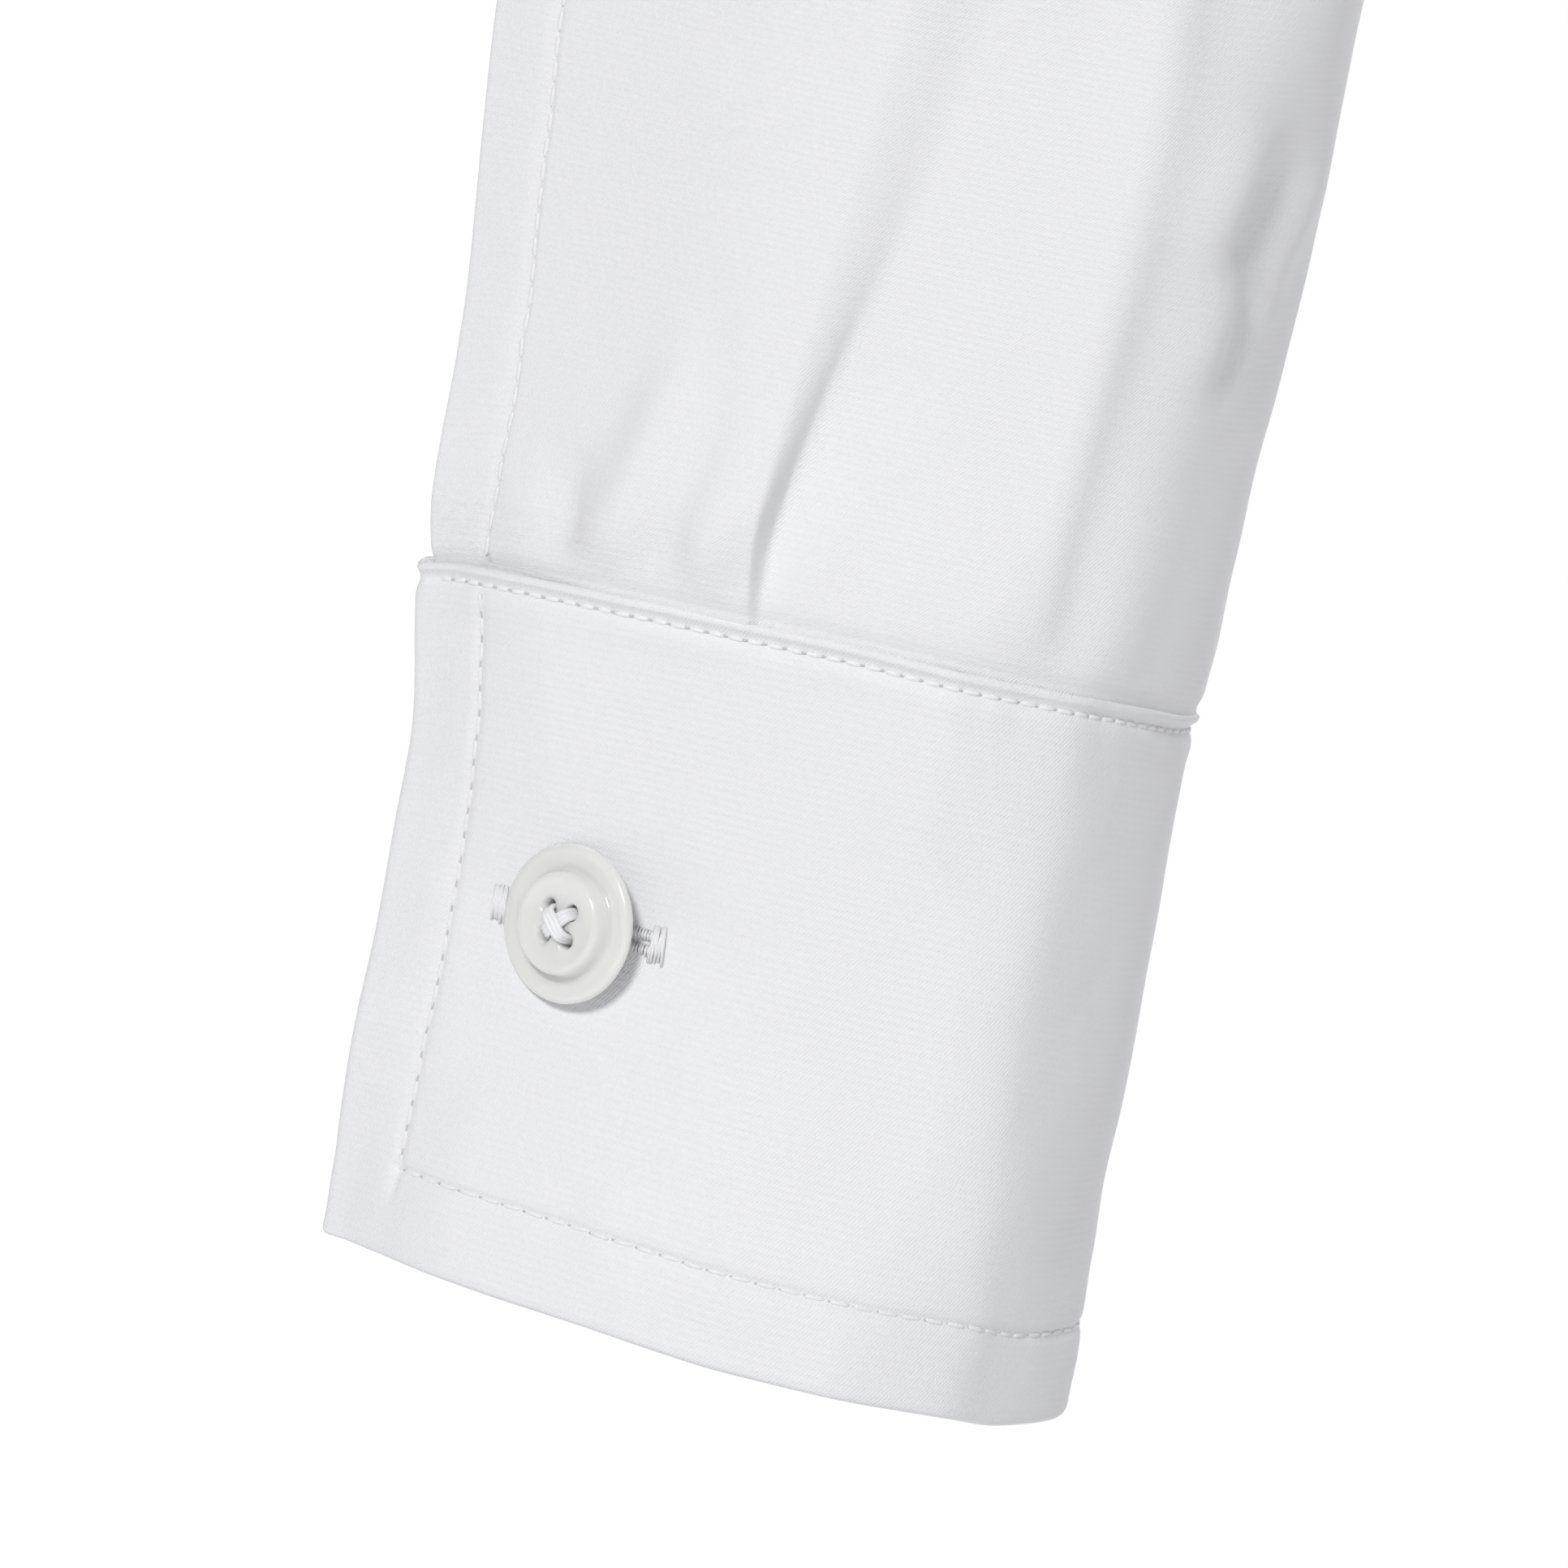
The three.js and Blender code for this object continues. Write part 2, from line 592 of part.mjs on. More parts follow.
function collarLeaf() {
  const at = (row, column) => {
    const share = (2 * column) / NECK_COLUMNS - 1; // -1 to 1, right front to left front round the back
    const t = row / LEAF_ROWS;
    const endAngle = lerp(3, 30, t); // the front edges slant out to the collar points
    const degrees = Math.sign(share || 1) * lerp(180, endAngle, Math.abs(share));
    const around = Math.abs(degrees);
    const angle = share < 0 ? -around : around;
    const top = standPoint(angle, STAND_HEIGHT + 1.9 + SEAM, -2.2);
    const outward = V(Math.sin(rad(angle)), -Math.cos(rad(angle)), 0);
    const spread = t === 0 ? 0 : LEAF_ROLL + (outAt(around) - LEAF_ROLL) * t ** 0.9;
    const drop = t === 0 ? 0 : fallAt(around) * t ** 1.12 - 2.5 * (1 - t);
    return top.addScaledVector(outward, spread).add(V(0, 0, 2.2 - drop));
  };
  return gridWall(LEAF_ROWS, NECK_COLUMNS, at, CLOTH, { flip: true });
}

// ---- Front band, brief, leg bands ----
function frontBand() {
  const rows = LOWER_ROWS + UPPER_ROWS * NECK_SHARE;
  const at = (row, column) => {
    const x = lerp(-BAND_HALF, BAND_HALF, column / 2);
    const p = bodyPoint("front", row, 0, 0);
    p.x = x;
    p.y -= 0.8;
    if (row === rows) p.z -= 1.5;
    return p;
  };
  return gridWall(rows, 2, at, FACED, { flip: true });
}

const briefLine = { front: lineThrough(BRIEF_FRONT_LINE), back: lineThrough(BRIEF_BACK_LINE) };
const legLine = { front: lineThrough(LEG_FRONT_LINE), back: lineThrough(LEG_BACK_LINE) };
const BRIEF_ROWS = 13;
const BRIEF_COLUMNS = 6;
const SIDE_SHARE = 0.3; // share of the rows that end on the side seam

// A point of the left half of the brief: t from hip seam to crotch tab, s from centre to edge.
function briefPoint(facing, t, s) {
  const sign = facing === "front" ? -1 : 1;
  let centre;
  let edge;
  if (t <= SIDE_SHARE) {
    const z = lerp(HIP_SEAM_Z, SIDE_HEM.z, t / SIDE_SHARE);
    centre = briefLine[facing](t * 0.95);
    edge = V(halfAt(z), 0, z);
  } else {
    centre = briefLine[facing](lerp(SIDE_SHARE * 0.95, 1, (t - SIDE_SHARE) / (1 - SIDE_SHARE)));
    edge = legLine[facing]((t - SIDE_SHARE) / (1 - SIDE_SHARE));
  }
  const p = across(centre, edge, lerp(90, 40, ease(t, SIDE_SHARE, 0.8)), s);
  p.y += sign * (t <= SIDE_SHARE ? ease(s, 0.9, 1) * (SEAM / 2 + 0.05) : 0);
  return p;
}

function brief(facing) {
  const at = (row, column) => {
    const s = (column - BRIEF_COLUMNS) / BRIEF_COLUMNS;
    const p = briefPoint(facing, row / BRIEF_ROWS, Math.abs(s));
    return s > 0 ? p : mirror(p);
  };
  const rim = (row, column, normal) => {
    const edge = column === 0 || column === 2 * BRIEF_COLUMNS;
    return edge && row / BRIEF_ROWS <= SIDE_SHARE + 0.01 ? V(normal.x, 0, normal.z) : null;
  };
  return gridWall(BRIEF_ROWS, 2 * BRIEF_COLUMNS, at, CLOTH, { flip: facing === "back", rim });
}

const LEG_BAND_WIDTH = 8;
const LEG_BAND_THICK = 1;
const LEG_BAND_SHARES = [0.312, 5 / 13, 6 / 13, 7 / 13, 8 / 13, 9 / 13, 10 / 13, 11 / 13, 0.867];

// The direction out of a surface at (t, s), from its points close by.
function outwardAt(surface, t, s, sign) {
  const step = 0.01;
  const along = surface(Math.min(t + step, 1), s).sub(surface(Math.max(t - step, 0), s));
  const sideways = surface(t, Math.min(s + step, 1)).sub(surface(t, Math.max(s - step, 0)));
  return along.cross(sideways).normalize().multiplyScalar(sign);
}

function legBand(facing, side) {
  const left = side === "left";
  const surface = (t, s) => briefPoint(facing, t, s);
  const sign = facing === "front" ? 1 : -1;
  const at = (row, column) => {
    const t = LEG_BAND_SHARES[row];
    const edge = surface(t, 1);
    const inside = surface(t, 1 - 1 / BRIEF_COLUMNS);
    const width = column === 0 ? 0.4 : LEG_BAND_WIDTH;
    const p = edge.clone().lerp(inside, width / edge.distanceTo(inside));
    p.addScaledVector(outwardAt(surface, t, 0.95, sign), LEG_BAND_THICK + SEAM + (facing === "front" ? 1.3 : 2.6));
    return left ? p : mirror(p);
  };
  const flip = (facing === "front") === left;
  return gridWall(LEG_BAND_SHARES.length - 1, 1, at, LEG_BAND_THICK, { flip });
}

// ---- Buttons and press-studs ----
function buttonGeometry() {
  const { radius, thick, bevel, holeRadius, holeAt } = BUTTON;
  const disc = new THREE.Shape();
  disc.absarc(0, 0, radius - bevel, 0, 2 * Math.PI);
  for (let hole = 0; hole < 4; hole += 1) {
    const angle = (hole * Math.PI) / 2 + Math.PI / 4;
    const opening = new THREE.Path();
    opening.absarc(holeAt * Math.cos(angle), holeAt * Math.sin(angle), holeRadius, 0, 2 * Math.PI, true);
    disc.holes.push(opening);
  }
  const options = { depth: thick - 2 * bevel, bevelSize: bevel, bevelThickness: bevel, bevelSegments: 1 };
  const geometry = new THREE.ExtrudeGeometry(disc, { ...options, curveSegments: 5 });
  return geometry.translate(0, 0, bevel);
}

function snapGeometry() {
  const { radius, thick } = SNAP;
  const profile = [
    [0, 0],
    [radius, 0],
    [radius, thick * 0.4],
    [radius * 0.7, thick],
    [0, thick],
  ].map(([r, z]) => new THREE.Vector2(r, z));
  return new THREE.LatheGeometry(profile, 16).rotateX(Math.PI / 2);
}

// ---- Assembly ----
const shirt = new THREE.Group();
shirt.name = "bodysuit_shirt";
const material = (color, roughness) =>
  new THREE.MeshStandardMaterial({ color, roughness, metalness: 0, side: THREE.DoubleSide });
const sateen = material(0xf1f1f4, 0.55);
const resin = material(0xe4e5df, 0.25);
const snapMetal = new THREE.MeshStandardMaterial({ color: 0xd9dadc, roughness: 0.35, metalness: 0.8 });

function add(name, geometry, finish) {
  const mesh = new THREE.Mesh(geometry, finish);
  mesh.name = name;
  shirt.add(mesh);
  return mesh;
}

// Lays a small round piece on a surface at a point, facing out.
function place(mesh, point, outward) {
  mesh.quaternion.setFromUnitVectors(V(0, 0, 1), outward.clone().normalize());
  mesh.position.copy(point);
}

add("back", backPanel(), sateen);
add("front_band", frontBand(), sateen);
add("collar_stand", collarStand(), sateen);
add("collar_leaf", collarLeaf(), sateen);
for (const side of ["right", "left"]) {
  add(`front_${side}`, frontPanel(side), sateen);
  add(`sleeve_${side}`, sleeve(side), sateen);
  add(`cuff_${side}`, cuff(side), sateen);
  for (const facing of ["front", "back"]) add(`leg_band_${facing}_${side}`, legBand(facing, side), sateen);
}
for (const facing of ["front", "back"]) add(`brief_${facing}`, brief(facing), sateen);

// Cuff buttons: how far they are from the overlapping end, and down from the cuff's seam.
const CUFF_BUTTON = { along: 18.6, down: 25.6 };
for (const side of ["right", "left"]) {
  const share = CUFF_BUTTON.along / LAP_LENGTH;
  const onCuff = (down, round) => sectionPoint(CUFF_SEAM + down, round, { size: CUFF_SIZE });
  const here = onCuff(CUFF_BUTTON.down, share);
  const down = onCuff(CUFF_BUTTON.down + 1, share).sub(here);
  const round = onCuff(CUFF_BUTTON.down, share + 0.01).sub(here);
  const outward = down.cross(round).normalize();
  if (outward.y > 0) outward.negate();
  const point = here.addScaledVector(outward, 0.7);
  const left = side === "left";
  const button = add(`button_cuff_${side}`, buttonGeometry(), resin);
  place(button, left ? point : mirror(point), left ? outward : mirror(outward));
}

FRONT_BUTTON_Z.forEach((z, index) => {
  const slope = (frontAt(z + 5) - frontAt(z - 5)) / 10;
  const outward = V(0, -1, -slope).normalize();
  const button = add(`button_front_${index + 1}`, buttonGeometry(), resin);
  place(button, V(0, -frontAt(z) - bustFullness(V(0, 0, z)) - 1.4, z), outward);
});

place(
  add("button_collar", buttonGeometry(), resin),
  standPoint(0, 1.8 + STAND_HEIGHT / 2, -1.2),
  V(0, -1, 0.1),
);

// Three press-studs hold the two tabs of the brief together.
for (const [index, x] of [-18, 0, 18].entries()) {
  const point = briefPoint("back", 0.955, 0);
  place(add(`snap_${index + 1}`, snapGeometry(), snapMetal), V(x, point.y, point.z - 0.9), V(0, 0, -1));
}

export default shirt;
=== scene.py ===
"""A white bodysuit shirt, in its worn form, as a Blender add-on that is run as a script.

Lengths are written in millimetres and turned into metres where a mesh is made. The shirt faces -Y,
the wearer's left is +X, and the origin is midway between the high shoulder points.
"""

import json
import math

import bmesh
import bpy
import numpy as np
from bpy.props import FloatProperty, FloatVectorProperty
from mathutils import Matrix, Vector

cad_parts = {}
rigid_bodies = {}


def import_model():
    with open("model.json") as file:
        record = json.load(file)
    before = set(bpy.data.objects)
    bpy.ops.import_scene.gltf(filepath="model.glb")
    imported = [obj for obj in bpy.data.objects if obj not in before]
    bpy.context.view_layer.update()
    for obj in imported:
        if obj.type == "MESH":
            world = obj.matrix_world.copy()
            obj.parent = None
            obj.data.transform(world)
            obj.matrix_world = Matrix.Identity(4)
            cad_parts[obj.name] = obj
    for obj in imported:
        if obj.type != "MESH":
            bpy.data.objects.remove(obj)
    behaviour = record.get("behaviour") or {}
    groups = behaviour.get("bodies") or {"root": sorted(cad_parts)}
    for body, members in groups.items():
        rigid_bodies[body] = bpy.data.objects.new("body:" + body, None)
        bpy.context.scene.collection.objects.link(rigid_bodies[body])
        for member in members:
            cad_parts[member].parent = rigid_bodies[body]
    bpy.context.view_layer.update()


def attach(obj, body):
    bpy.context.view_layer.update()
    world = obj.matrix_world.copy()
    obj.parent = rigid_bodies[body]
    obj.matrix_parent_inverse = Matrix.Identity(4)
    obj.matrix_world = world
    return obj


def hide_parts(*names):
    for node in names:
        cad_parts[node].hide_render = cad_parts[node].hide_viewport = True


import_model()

bl_info = {
    "name": "Bodysuit Shirt",
    "version": (1, 0, 0),
    "blender": (4, 5, 0),
    "location": "View3D > Sidebar > Shirt",
    "description": "Builds a buttoned bodysuit shirt of ribbed sateen, with its stage",
    "category": "Object",
}

MM = 0.001
SIDES = ("right", "left")
EDGES = ("first_row", "last_row", "first_column", "last_column")
CUFF_SEED = {"right": 5, "left": 9}

# ---- Sizes that the cloth shares with the solids ----
SEAM = 0.02
HIP_SEAM_Z = -470.0
ARMPIT_Z = -190.0
NECK_HALF = 66.0
NECK_FRONT_Z = -72.0
NECK_FRONT_Y = -58.0
NECK_BACK_Y = 52.0
SHOULDER_X = 188.0
SHOULDER_Z = -46.0
SIDE_HEM_Z = -553.0
BAND_HALF = 13.0
BAND_PROUD = 0.8
STAND_HEIGHT = 27.0
COLLAR_END = 11.0
UPPER_ARM = 245.0
FOREARM = 215.0
CUFF_SEAM = UPPER_ARM + FOREARM
ARM_TILT = 14.0
FOREARM_TILT = 10.2
FOREARM_LEAN = 4.0
ELBOW_BEND = 50.0
CAP_END = 140.0
SLIT = 100.0
HEM_WIDTH = 5.7
LEG_BAND_END = 13 / 15
CUFF_LAP = 0.145
CUFF_HEIGHT = 54.5
TOP_STITCH = 1.6
MARGIN = 7.0
CORNER = 0.7
FRONT_BUTTON_Z = (-110, -172, -234, -296, -358, -420)
BUTTON_ALONG = 18.6
BUTTON_DOWN = 25.6
BUTTON_HOLES_OUT = 1.62
BUTTON_HOLE_RADIUS = 0.74
BUTTONHOLE_LENGTH = 13.4

BODY = [
    {"z": -560, "half": 173, "front": 96, "back": 113},
    {"z": -520, "half": 168, "front": 99, "back": 110},
    {"z": -470, "half": 157, "front": 97, "back": 98},
    {"z": -430, "half": 143, "front": 95, "back": 86},
    {"z": -385, "half": 129, "front": 92, "back": 77},
    {"z": -320, "half": 146, "front": 104, "back": 86},
    {"z": -255, "half": 161, "front": 122, "back": 96},
    {"z": -190, "half": 158, "front": 106, "back": 101},
    {"z": -120, "half": 158, "front": 82, "back": 98},
    {"z": -72, "half": 158, "front": 58, "back": 84},
    {"z": -6, "half": 158, "front": 20, "back": 52},
]
ARM = [
    {"at": 140, "wide": 53, "deep": 55, "tear": 0},
    {"at": 245, "wide": 45, "deep": 46, "tear": 0.1},
    {"at": 330, "wide": 39.8, "deep": 34, "tear": 0.55},
    {"at": 390, "wide": 36.6, "deep": 25.5, "tear": 0.95},
    {"at": 416, "wide": 35.2, "deep": 22.6, "tear": 1},
    {"at": 442, "wide": 33.6, "deep": 20.9, "tear": 1},
    {"at": 454, "wide": 33.3, "deep": 20.3, "tear": 1},
    {"at": 460, "wide": 32.9, "deep": 19.6, "tear": 1},
]
CUFF_WIDE, CUFF_DEEP = 32.3, 19.5
CUFF_SECTION = [
    {"x": 0, "y": 0},
    {"x": 8, "y": 5.4},
    {"x": 16, "y": 10},
    {"x": 28, "y": 14.6},
    {"x": 41, "y": 16.4},
    {"x": 50.6, "y": 15.9},
    {"x": 54.6, "y": 12.6},
    {"x": 61.6, "y": 1},
    {"x": 61.3, "y": -9},
    {"x": 56, "y": -17},
    {"x": 44, "y": -21.5},
    {"x": 28, "y": -22},
    {"x": 13, "y": -18},
    {"x": 5.6, "y": -10.5},
    {"x": 4.2, "y": -3.5},
    {"x": 9.7, "y": 2.6},
    {"x": 17.4, "y": 7.2},
    {"x": 28.6, "y": 11.6},
]
LAP_ROW = 14
SECTION_CENTRE = (31.0, -2.5)

BRIEF_LINE = {
    "front": [
        {"y": -97, "z": -470},
        {"y": -99, "z": -520},
        {"y": -95, "z": -560},
        {"y": -80, "z": -605},
        {"y": -52, "z": -640},
        {"y": -20, "z": -659},
        {"y": 6, "z": -664},
    ],
    "back": [
        {"y": 98, "z": -470},
        {"y": 110, "z": -520},
        {"y": 113, "z": -560},
        {"y": 104, "z": -602},
        {"y": 78, "z": -637},
        {"y": 40, "z": -659},
        {"y": 6, "z": -666.4},
        {"y": -24, "z": -662.4},
    ],
}
LEG_LINE = {
    "front": [
        {"x": 172, "y": -0.2, "z": -553},
        {"x": 158, "y": -42, "z": -572},
        {"x": 128, "y": -62, "z": -600},
        {"x": 92, "y": -60, "z": -624},
        {"x": 60, "y": -44, "z": -643},
        {"x": 41, "y": -20, "z": -656},
        {"x": 35, "y": 6, "z": -661.5},
    ],
    "back": [
        {"x": 172, "y": 0.2, "z": -553},
        {"x": 165, "y": 44, "z": -574},
        {"x": 145, "y": 78, "z": -603},
        {"x": 110, "y": 84, "z": -630},
        {"x": 74, "y": 66, "z": -649},
        {"x": 48, "y": 36, "z": -661},
        {"x": 35, "y": 6, "z": -664.2},
        {"x": 37, "y": -24, "z": -659.4},
    ],
}
LEAF = [
    {"angle": 0, "fall": 62, "out": 30},
    {"angle": 30, "fall": 56, "out": 32},
    {"angle": 60, "fall": 38, "out": 34},
    {"angle": 95, "fall": 28.5, "out": 34},
    {"angle": 140, "fall": 37, "out": 26},
    {"angle": 180, "fall": 43, "out": 18},
]

# Soft folds in the body, each a ridge along a line from one place to another as seen from in front
# or behind: x is away from the centre, and a negative height is a trough.
BODY_FOLDS = {
    "front": [
        {"x0": 150, "z0": -205, "x1": 95, "z1": -262, "width": 9, "height": 2.6},
        {"x0": 152, "z0": -222, "x1": 112, "z1": -300, "width": 8, "height": 2.0},
        {"x0": 142, "z0": -160, "x1": 104, "z1": -214, "width": 8, "height": -2.2},
        {"x0": 128, "z0": -372, "x1": 62, "z1": -396, "width": 7, "height": 2.2},
        {"x0": 126, "z0": -392, "x1": 40, "z1": -384, "width": 6, "height": -1.8},
        {"x0": 124, "z0": -408, "x1": 66, "z1": -430, "width": 8, "height": 2.0},
        {"x0": 74, "z0": -300, "x1": 30, "z1": -340, "width": 9, "height": 1.4},
        {"x0": 92, "z0": -62, "x1": 128, "z1": -122, "width": 10, "height": 1.5},
        {"x0": 60, "z0": -96, "x1": 42, "z1": -160, "width": 11, "height": 1.0},
        {"x0": 132, "z0": -505, "x1": 70, "z1": -530, "width": 10, "height": 1.5},
        {"x0": 88, "z0": -585, "x1": 34, "z1": -612, "width": 9, "height": 1.4},
    ],
    "back": [
        {"x0": 150, "z0": -196, "x1": 84, "z1": -232, "width": 10, "height": 2.4},
        {"x0": 148, "z0": -178, "x1": 112, "z1": -120, "width": 9, "height": 2.0},
        {"x0": 126, "z0": -368, "x1": 20, "z1": -378, "width": 7, "height": 2.6},
        {"x0": 124, "z0": -388, "x1": 34, "z1": -398, "width": 6, "height": -2.2},
        {"x0": 122, "z0": -406, "x1": 24, "z1": -412, "width": 7, "height": 2.2},
        {"x0": 70, "z0": -340, "x1": 52, "z1": -250, "width": 12, "height": 1.6},
        {"x0": 30, "z0": -90, "x1": 86, "z1": -112, "width": 12, "height": 1.1},
        {"x0": 140, "z0": -560, "x1": 84, "z1": -612, "width": 9, "height": 1.8},
        {"x0": 108, "z0": -540, "x1": 58, "z1": -618, "width": 10, "height": -1.3},
    ],
}

# Soft folds in a sleeve: from one place to another by distance down the arm and share round it.
SLEEVE_FOLDS = [
    {"at0": 160, "round0": 0.42, "at1": 205, "round1": 0.26, "width": 9, "height": 2.6},
    {"at0": 172, "round0": 0.5, "at1": 228, "round1": 0.36, "width": 8, "height": -2.2},
    {"at0": 165, "round0": 0.6, "at1": 214, "round1": 0.74, "width": 9, "height": 2.4},
    {"at0": 232, "round0": 0.5, "at1": 262, "round1": 0.24, "width": 7, "height": 3.0},
    {"at0": 243, "round0": 0.52, "at1": 276, "round1": 0.3, "width": 6, "height": -2.6},
    {"at0": 250, "round0": 0.52, "at1": 292, "round1": 0.33, "width": 7, "height": 2.8},
    {"at0": 240, "round0": 0.55, "at1": 268, "round1": 0.76, "width": 7, "height": 2.8},
    {"at0": 262, "round0": 0.56, "at1": 300, "round1": 0.7, "width": 7, "height": -2.2},
    {"at0": 300, "round0": 0.08, "at1": 352, "round1": 0.22, "width": 9, "height": 1.8},
    {"at0": 318, "round0": 0.42, "at1": 372, "round1": 0.3, "width": 9, "height": 2.0},
    {"at0": 335, "round0": 0.62, "at1": 392, "round1": 0.76, "width": 9, "height": 2.0},
    {"at0": 362, "round0": 0.46, "at1": 418, "round1": 0.4, "width": 8, "height": 1.6},
    # Near the cuff: the fullness that the seam takes in.
    {"at0": 438, "round0": 0.14, "at1": 459, "round1": 0.12, "width": 2.2, "height": 0.75},
    {"at0": 434, "round0": 0.172, "at1": 458, "round1": 0.155, "width": 2.0, "height": 0.7},
    {"at0": 446, "round0": 0.07, "at1": 458, "round1": 0.088, "width": 2.4, "height": -0.7},
    {"at0": 404, "round0": 0.4, "at1": 428, "round1": 0.425, "width": 4.5, "height": -1.0},
    {"at0": 420, "round0": 0.47, "at1": 436, "round1": 0.45, "width": 4, "height": -0.9},
    {"at0": 436, "round0": 0.172, "at1": 459, "round1": 0.143, "width": 2.1, "height": -0.6},
    {"at0": 440, "round0": 0.128, "at1": 461, "round1": 0.112, "width": 2.6, "height": 0.4},
    {"at0": 446, "round0": 0.092, "at1": 461, "round1": 0.08, "width": 1.7, "height": -0.4},
    {"at0": 449, "round0": 0.168, "at1": 459, "round1": 0.166, "width": 1.7, "height": 0.55},
    {"at0": 446, "round0": 0.218, "at1": 461, "round1": 0.209, "width": 2.0, "height": 0.35},
    {"at0": 385, "round0": 0.335, "at1": 470, "round1": 0.327, "width": 2.6, "height": 0.7},
    {"at0": 380, "round0": 0.368, "at1": 455, "round1": 0.352, "width": 4.0, "height": -0.8},
    {"at0": 414, "round0": 0.425, "at1": 424, "round1": 0.405, "width": 3.2, "height": -1.3},
    {"at0": 424, "round0": 0.43, "at1": 434, "round1": 0.415, "width": 2.6, "height": -1.0},
    {"at0": 444, "round0": 0.29, "at1": 460, "round1": 0.3, "width": 3.4, "height": 0.35},
    {"at0": 448, "round0": 0.55, "at1": 460, "round1": 0.55, "width": 4, "height": 0.6},
    {"at0": 444, "round0": 0.66, "at1": 460, "round1": 0.67, "width": 4, "height": -0.6},
    {"at0": 440, "round0": 0.8, "at1": 460, "round1": 0.79, "width": 4.5, "height": 0.6},
]
PLEAT = {"share": 0.189, "drift": 0.055, "lift": 2.5, "rise": 110.0, "tuck": 1.0}


# ---- Arithmetic ----
def ease(value, a, b):
    """0 before a, 1 after b, and smooth between."""
    t = np.clip((np.asarray(value, float) - a) / (b - a), 0.0, 1.0)
    return t * t * (3 - 2 * t)


def mix(a, b, t):
    return a + (b - a) * t


def bell(value, width):
    return np.exp(-((np.asarray(value, float) / width) ** 2))


def unit(vectors):
    return vectors / np.maximum(np.linalg.norm(vectors, axis=-1, keepdims=True), 1e-9)


def reader(rows, key, column):
    """Reads a column of a table smoothly, without overshooting its rows."""
    rows = sorted(rows, key=lambda row: row[key])
    xs = np.array([row[key] for row in rows], float)
    ys = np.array([row[column] for row in rows], float)
    steps = np.diff(ys) / np.diff(xs)
    slopes = np.concatenate([steps[:1], np.zeros(len(xs) - 2), steps[-1:]])
    for i in range(1, len(xs) - 1):
        before, after = steps[i - 1], steps[i]
        slopes[i] = 0 if before * after <= 0 else 2 * before * after / (before + after)

    def read(at):
        x = np.clip(np.asarray(at, float), xs[0], xs[-1])
        i = np.clip(np.searchsorted(xs, x, side="left") - 1, 0, len(xs) - 2)
        width = xs[i + 1] - xs[i]
        t = (x - xs[i]) / width
        return (
            ys[i] * (2 * t**3 - 3 * t**2 + 1)
            + slopes[i] * width * (t**3 - 2 * t**2 + t)
            + ys[i + 1] * (3 * t**2 - 2 * t**3)
            + slopes[i + 1] * width * (t**3 - t**2)
        )

    return read


def spline(points, per_span=24):
    """A centripetal Catmull-Rom line through points, read by share of its length."""
    p = np.asarray(points, float)
    p = np.vstack([2 * p[0] - p[1], p, 2 * p[-1] - p[-2]])
    out = []
    for i in range(len(p) - 3):
        a, b, c, d = p[i : i + 4]
        t1 = max(np.linalg.norm(b - a), 1e-9) ** 0.5
        t2 = t1 + max(np.linalg.norm(c - b), 1e-9) ** 0.5
        t3 = t2 + max(np.linalg.norm(d - c), 1e-9) ** 0.5
        t = np.linspace(t1, t2, per_span, endpoint=i == len(p) - 4)[:, None]
        ab = (t1 - t) / t1 * a + t / t1 * b
        bc = (t2 - t) / (t2 - t1) * b + (t - t1) / (t2 - t1) * c
        cd = (t3 - t) / (t3 - t2) * c + (t - t2) / (t3 - t2) * d
        abc = (t2 - t) / t2 * ab + t / t2 * bc
        bcd = (t3 - t) / (t3 - t1) * bc + (t - t1) / (t3 - t1) * cd
        out.append((t2 - t) / (t2 - t1) * abc + (t - t1) / (t2 - t1) * bcd)
    line = np.vstack(out)
    lengths = np.concatenate([[0], np.cumsum(np.linalg.norm(np.diff(line, axis=0), axis=1))])

    def read(share):
        at = np.clip(np.asarray(share, float), 0, 1) * lengths[-1]
        return np.stack([np.interp(at, lengths, line[:, k]) for k in range(line.shape[1])], axis=-1)

    read.length = lengths[-1]
    read.length_at = lambda row: lengths[min(row * per_span, len(lengths) - 1)]
    return read


def wander(seed, count=64):
    """A smooth random line of period count, about -1 to 1."""
    values = np.random.default_rng(seed).uniform(-1, 1, count)

    def read(x):
        x = np.asarray(x, float) % count
        i = np.floor(x).astype(int)
        t = x - i
        t = t * t * (3 - 2 * t)
        return values[i % count] * (1 - t) + values[(i + 1) % count] * t

    return read


def wander_field(seed, count=48):
    """A smooth random surface of period count, about -1 to 1."""
    values = np.random.default_rng(seed).uniform(-1, 1, (count, count))

    def read(x, y):
        x, y = np.asarray(x, float) % count, np.asarray(y, float) % count
        i, j = np.floor(x).astype(int), np.floor(y).astype(int)
        s, t = x - i, y - j
        s, t = s * s * (3 - 2 * s), t * t * (3 - 2 * t)
        a = values[i % count, j % count] * (1 - s) + values[(i + 1) % count, j % count] * s
        b = values[i % count, (j + 1) % count] * (1 - s)
        b = b + values[(i + 1) % count, (j + 1) % count] * s
        return a * (1 - t) + b * t

    return read


def ridge(x, y, x0, y0, x1, y1, width, height):
    """A soft ridge along a line, highest in its middle, with a slight hollow on each side."""
    along = np.array([x1 - x0, y1 - y0], float)
    length = np.hypot(*along)
    along /= length
    t = ((x - x0) * along[0] + (y - y0) * along[1]) / length
    off = (x - x0) * -along[1] + (y - y0) * along[0]
    off = off + 0.12 * length * (t - 0.5) ** 2
    fade = ease(t, -0.25, 0.3) * (1 - ease(t, 0.7, 1.25))
    return height * fade * (bell(off, width) - 0.35 * bell(np.abs(off) - 2 * width, width))


